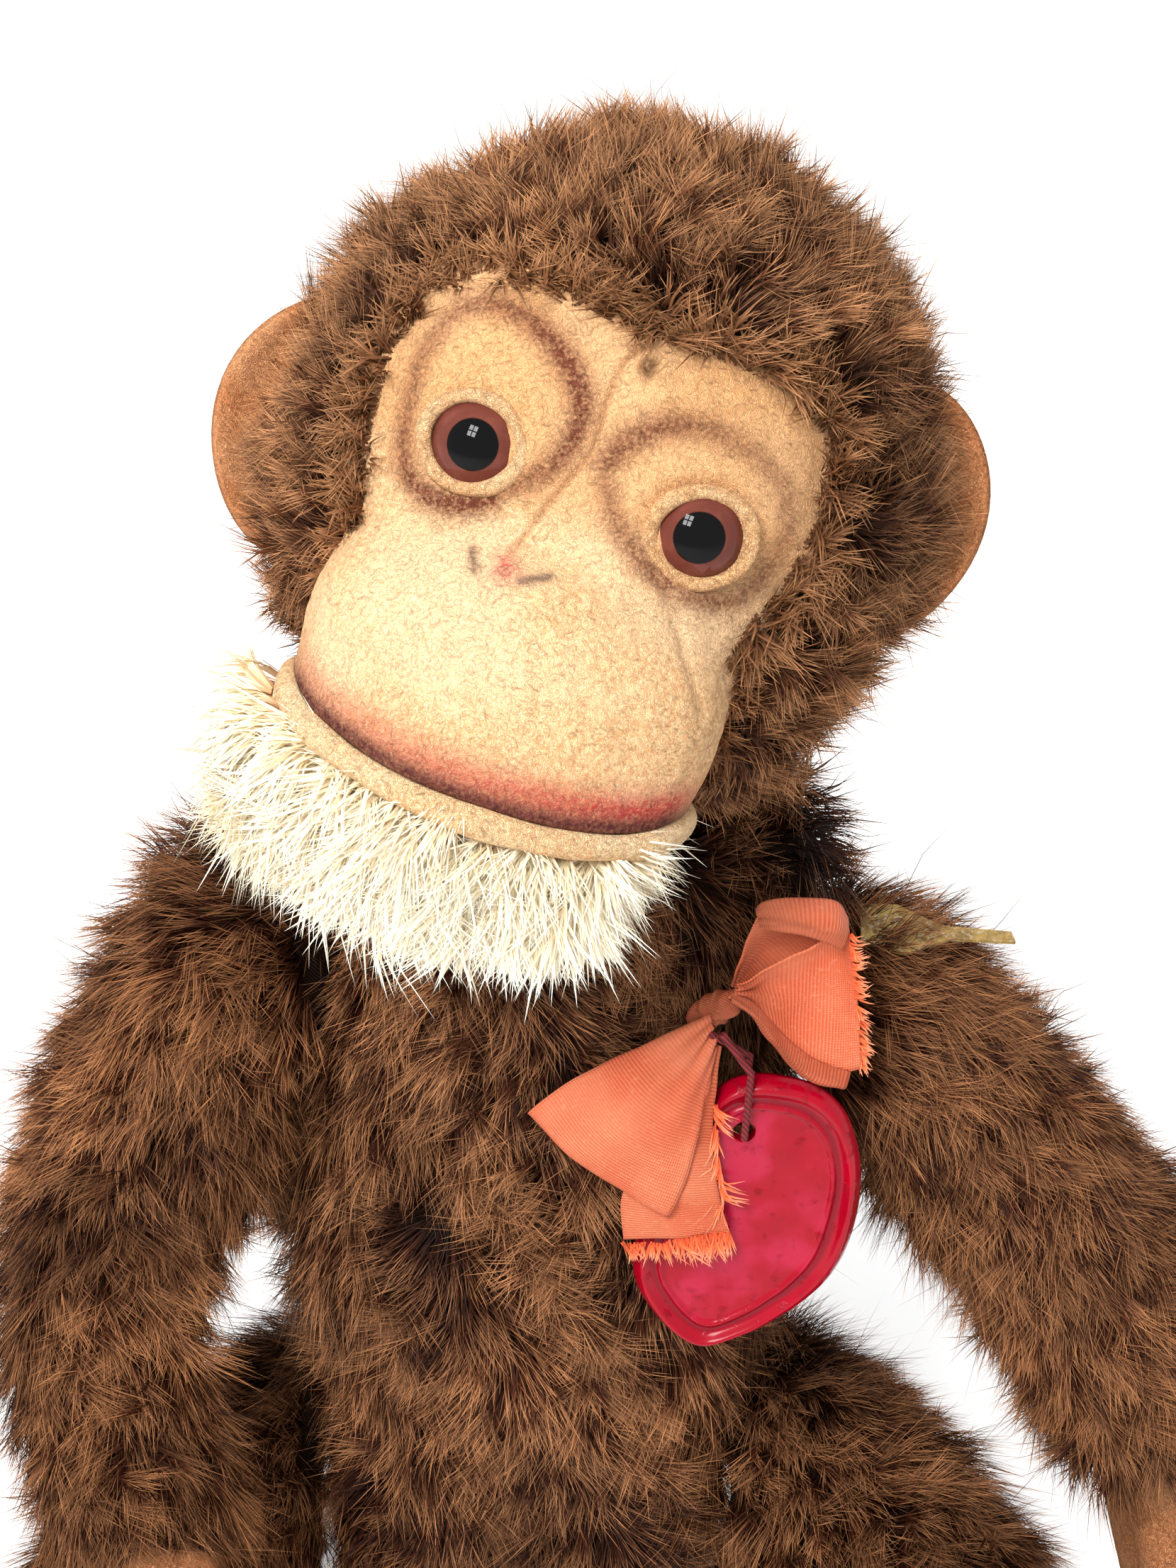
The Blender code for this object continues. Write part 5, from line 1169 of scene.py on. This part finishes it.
knot = bmesh.new()
bmesh.ops.create_uvsphere(knot, u_segments=48, v_segments=32, radius=1)
places = places_of(knot) * [4.0, 2.4, 2.0]
places *= (1 + 0.08 * np.sin(np.arctan2(places[:, 2], places[:, 0]) * 7 + places[:, 1]))[:, None]
chart = knot.loops.layers.uv.new("weave")
knot.verts.index_update()
for patch in knot.faces:
    for corner in patch.loops:
        x, y, z = places[corner.vert.index]
        corner[chart].uv = (z * 0.01, (x + y) * MM)
places = places @ np.array(Matrix.Rotation(math.radians(-36), 3, "Y")).T + [0, -0.6, 1.2]
set_places(knot, places * MM + KNOT)
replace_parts(piece("bow_knot", knot, coral, "torso"), "ribbon_knot")

# Medallion
# A moulded oval of glossy crimson plastic made to look like sealing wax, with a thick uneven rim and a plain
# field. Its colour carries a painted reflection on the field and painted shade in the groove inside the rim.
MEDAL_LEAN = math.radians(8)
RIM_RISE, LINE_RISE = 1.25, 0.55
HOLE_RADIUS = 1.5 * MM
medal_place = Matrix.Translation(MEDAL_MIDDLE) @ Matrix.Rotation(math.pi / 2 - MEDAL_LEAN, 4, "X")
OUTLINE = np.array([
    (-3.8, 21), (0, 22.4), (4.7, 22.1), (8.5, 21), (11.8, 18.2), (13.8, 13.9), (14.9, 9.9), (15.3, 5.3),
    (15.2, 1.4), (14.6, -2.6), (13.2, -7.1), (10.4, -11.4), (6.1, -15.5), (0.9, -19), (-4.2, -21.1),
    (-7.7, -19), (-10.8, -15.5), (-13.1, -11.9), (-13.9, -8.4), (-13.7, -4.3), (-12.8, 0), (-11.6, 4.3),
    (-10.2, 8.6), (-8.7, 12.6), (-6.7, 17)])
bearing = np.arctan2(OUTLINE[:, 1], OUTLINE[:, 0])
order = np.argsort(bearing)
reach = np.hypot(OUTLINE[:, 0], OUTLINE[:, 1])[order]
bearing = bearing[order]
disc = ringed_disc(120, [0.014] * 24 + [0.03] * 6 + [0.05] * 5 + [0.08] * 2)
places, radius, around = polar(disc)
near_by = np.linspace(-0.08, 0.08, 5)
edge = sum(np.interp(around + near, bearing, reach, period=2 * math.pi) for near in near_by) / 5
flat = np.stack([np.cos(around), np.sin(around)], 1) * (radius * edge)[:, None]
depth = edge * (1 - radius)
rim_rise = RIM_RISE * bell(depth - 1.5, 0.85) * (0.85 + 0.25 * np.sin(around * 3 + 1))
line_rise = LINE_RISE * bell(depth - 4.2, 0.36)
fall = 1.1 * unit(1 - depth / 0.9) ** 2
flow_noise = waves(np.stack([flat[:, 0], flat[:, 1], 0 * radius], 1) * MM, 14, 5, 14, 111)[0]
front_face = 0.7 + rim_rise + line_rise - fall + 0.09 * flow_noise
moulding = disc.verts.layers.float.new("moulding")
for vertex, (x, y), z, inward in zip(disc.verts, flat, front_face, depth):
    vertex.co = Vector((x, y, z)) * MM
    vertex[moulding] = inward / 10
for vertex in bmesh.ops.extrude_edge_only(disc, edges=[e for e in disc.edges if e.is_boundary])["geom"]:
    if isinstance(vertex, bmesh.types.BMVert):
        vertex.co.z = -1.0 * MM
bmesh.ops.holes_fill(disc, edges=[e for e in disc.edges if e.is_boundary])
bmesh.ops.recalc_face_normals(disc, faces=disc.faces)
bmesh.ops.transform(disc, matrix=medal_place, verts=disc.verts)


def sealing_wax(base):
    place = base.coords()
    swirl = place.noise(120.0, 3.0)
    grime = place.noise(500.0, 5.0).clear(0.56, 0.74)
    inward = base.node("Attribute", {"attribute_name": "moulding"}, {}, 2)
    colour = painted(swirl.blend(tone(138, 0, 22), tone(180, 2, 36)),
                     # Milky pink on the field, broken up by the swirl: a painted reflection.
                     (inward.clear(0.36, 0.46) * swirl.clear(0.42, 0.6) * 0.3, (200, 50, 92)),
                     # A dark band in the groove between the rim and the inner ridge: painted shade.
                     (inward.clear(0.24, 0.32) * (inward * -1 + 0.5).clear(0.1, 0.16) * 0.6, (96, 0, 20)),
                     (grime * 0.4, (86, 10, 18)))
    return {"Base Color": colour, "Roughness": grime * 0.3 + 0.2, "Specular IOR Level": 0.2,
            "Height": (grime, 0.00008)}


medal = piece("wax_medallion", disc, surface("sealing_wax", sealing_wax), "medallion_body")
punch_shape = bmesh.new()
bmesh.ops.create_cone(punch_shape, cap_ends=True, segments=32, radius1=HOLE_RADIUS, radius2=HOLE_RADIUS,
                      depth=8 * MM)
bmesh.ops.transform(punch_shape, matrix=medal_place @ Matrix.Translation((-0.9 * MM, 14.2 * MM, 0)),
                    verts=punch_shape.verts)
punch_mesh = bpy.data.meshes.new("punch")
punch_shape.to_mesh(punch_mesh)
punch = bpy.data.objects.new("punch", punch_mesh)
bpy.context.collection.objects.link(punch)
cut = medal.modifiers.new("hole", "BOOLEAN")
cut.object, cut.operation, cut.solver = punch, "DIFFERENCE", "EXACT"
settled(medal)
bpy.data.objects.remove(punch)
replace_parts(medal, "medallion")


# Thread
# Dark red cotton from the knot, down through the hole and back up behind.
def cotton(base):
    ply = base.coords().bands(700.0, 0.6)
    return {"Base Color": ply.blend(tone(78, 14, 20), tone(140, 34, 38)), "Roughness": 0.8,
            "Height": (ply, 0.00015)}


paint_nodes(surface("red_cotton", cotton), "medallion_thread")

# Loose end of the ribbon
# It hangs from the knot behind the lower leaf and over the medallion, and its cut end has frayed to a fringe.
loose = bmesh.new()
drape(loose, [
    [(-1, -3, 3), (0, -3, 3.4), (1, -3, 3)], [(-4, -12, 4.2), (-1.6, -12, 5), (0.6, -12, 4.2)],
    [(-8, -20, 4.5), (-3, -20, 5.2), (1.5, -20, 4.7)], [(-10.2, -26, 4.7), (-3.4, -26.4, 5.2), (3, -26, 4.9)],
    [(-9.5, -32.6, 4.8), (-2.8, -31.6, 5.1), (4.5, -30.4, 5)]], 0, 0.35, 8)
ribbon("ribbon_loose_end", loose, "medallion_body", ["ribbon_end"])
for part, start, end, way, count, length, seed in (
        ("left", (-9.5, -9.4, -32.4), (-2.8, -9.5, -31.4), (0.05, 0, -1), 70, 2.6, 141),
        ("right", (-2.8, -9.6, -30.6), (4.5, -9.4, -29.0), (0.25, 0, -1), 120, 3.8, 143),
        ("side", (0.6, -5.6, -10), (3.2, -8.6, -27), (0.45, 0, -1), 90, 3.6, 145)):
    fringe("fringe_" + part, start, end, way, count, length, seed, "medallion_body")


# Label remnant
# What is left of a gilt paper label, torn off short in the shoulder seam and tarnished.
def old_paper(base):
    place = base.coords()
    tarnish = place.noise(420.0, 5.0, 0.65)
    flake = place.noise(1500.0, 3.0).clear(0.5, 0.66)
    colour = painted(tarnish.clear(0.35, 0.65).blend(tone(122, 96, 44), tone(178, 146, 80)),
                     (flake * 0.5, (196, 184, 156)))
    return {"Base Color": colour, "Roughness": tarnish * 0.4 + 0.4, "Metallic": 0.15,
            "Height": (tarnish + flake * 0.4, 0.0002)}


paint_nodes(surface("old_gilt_paper", old_paper), "label_remnant")
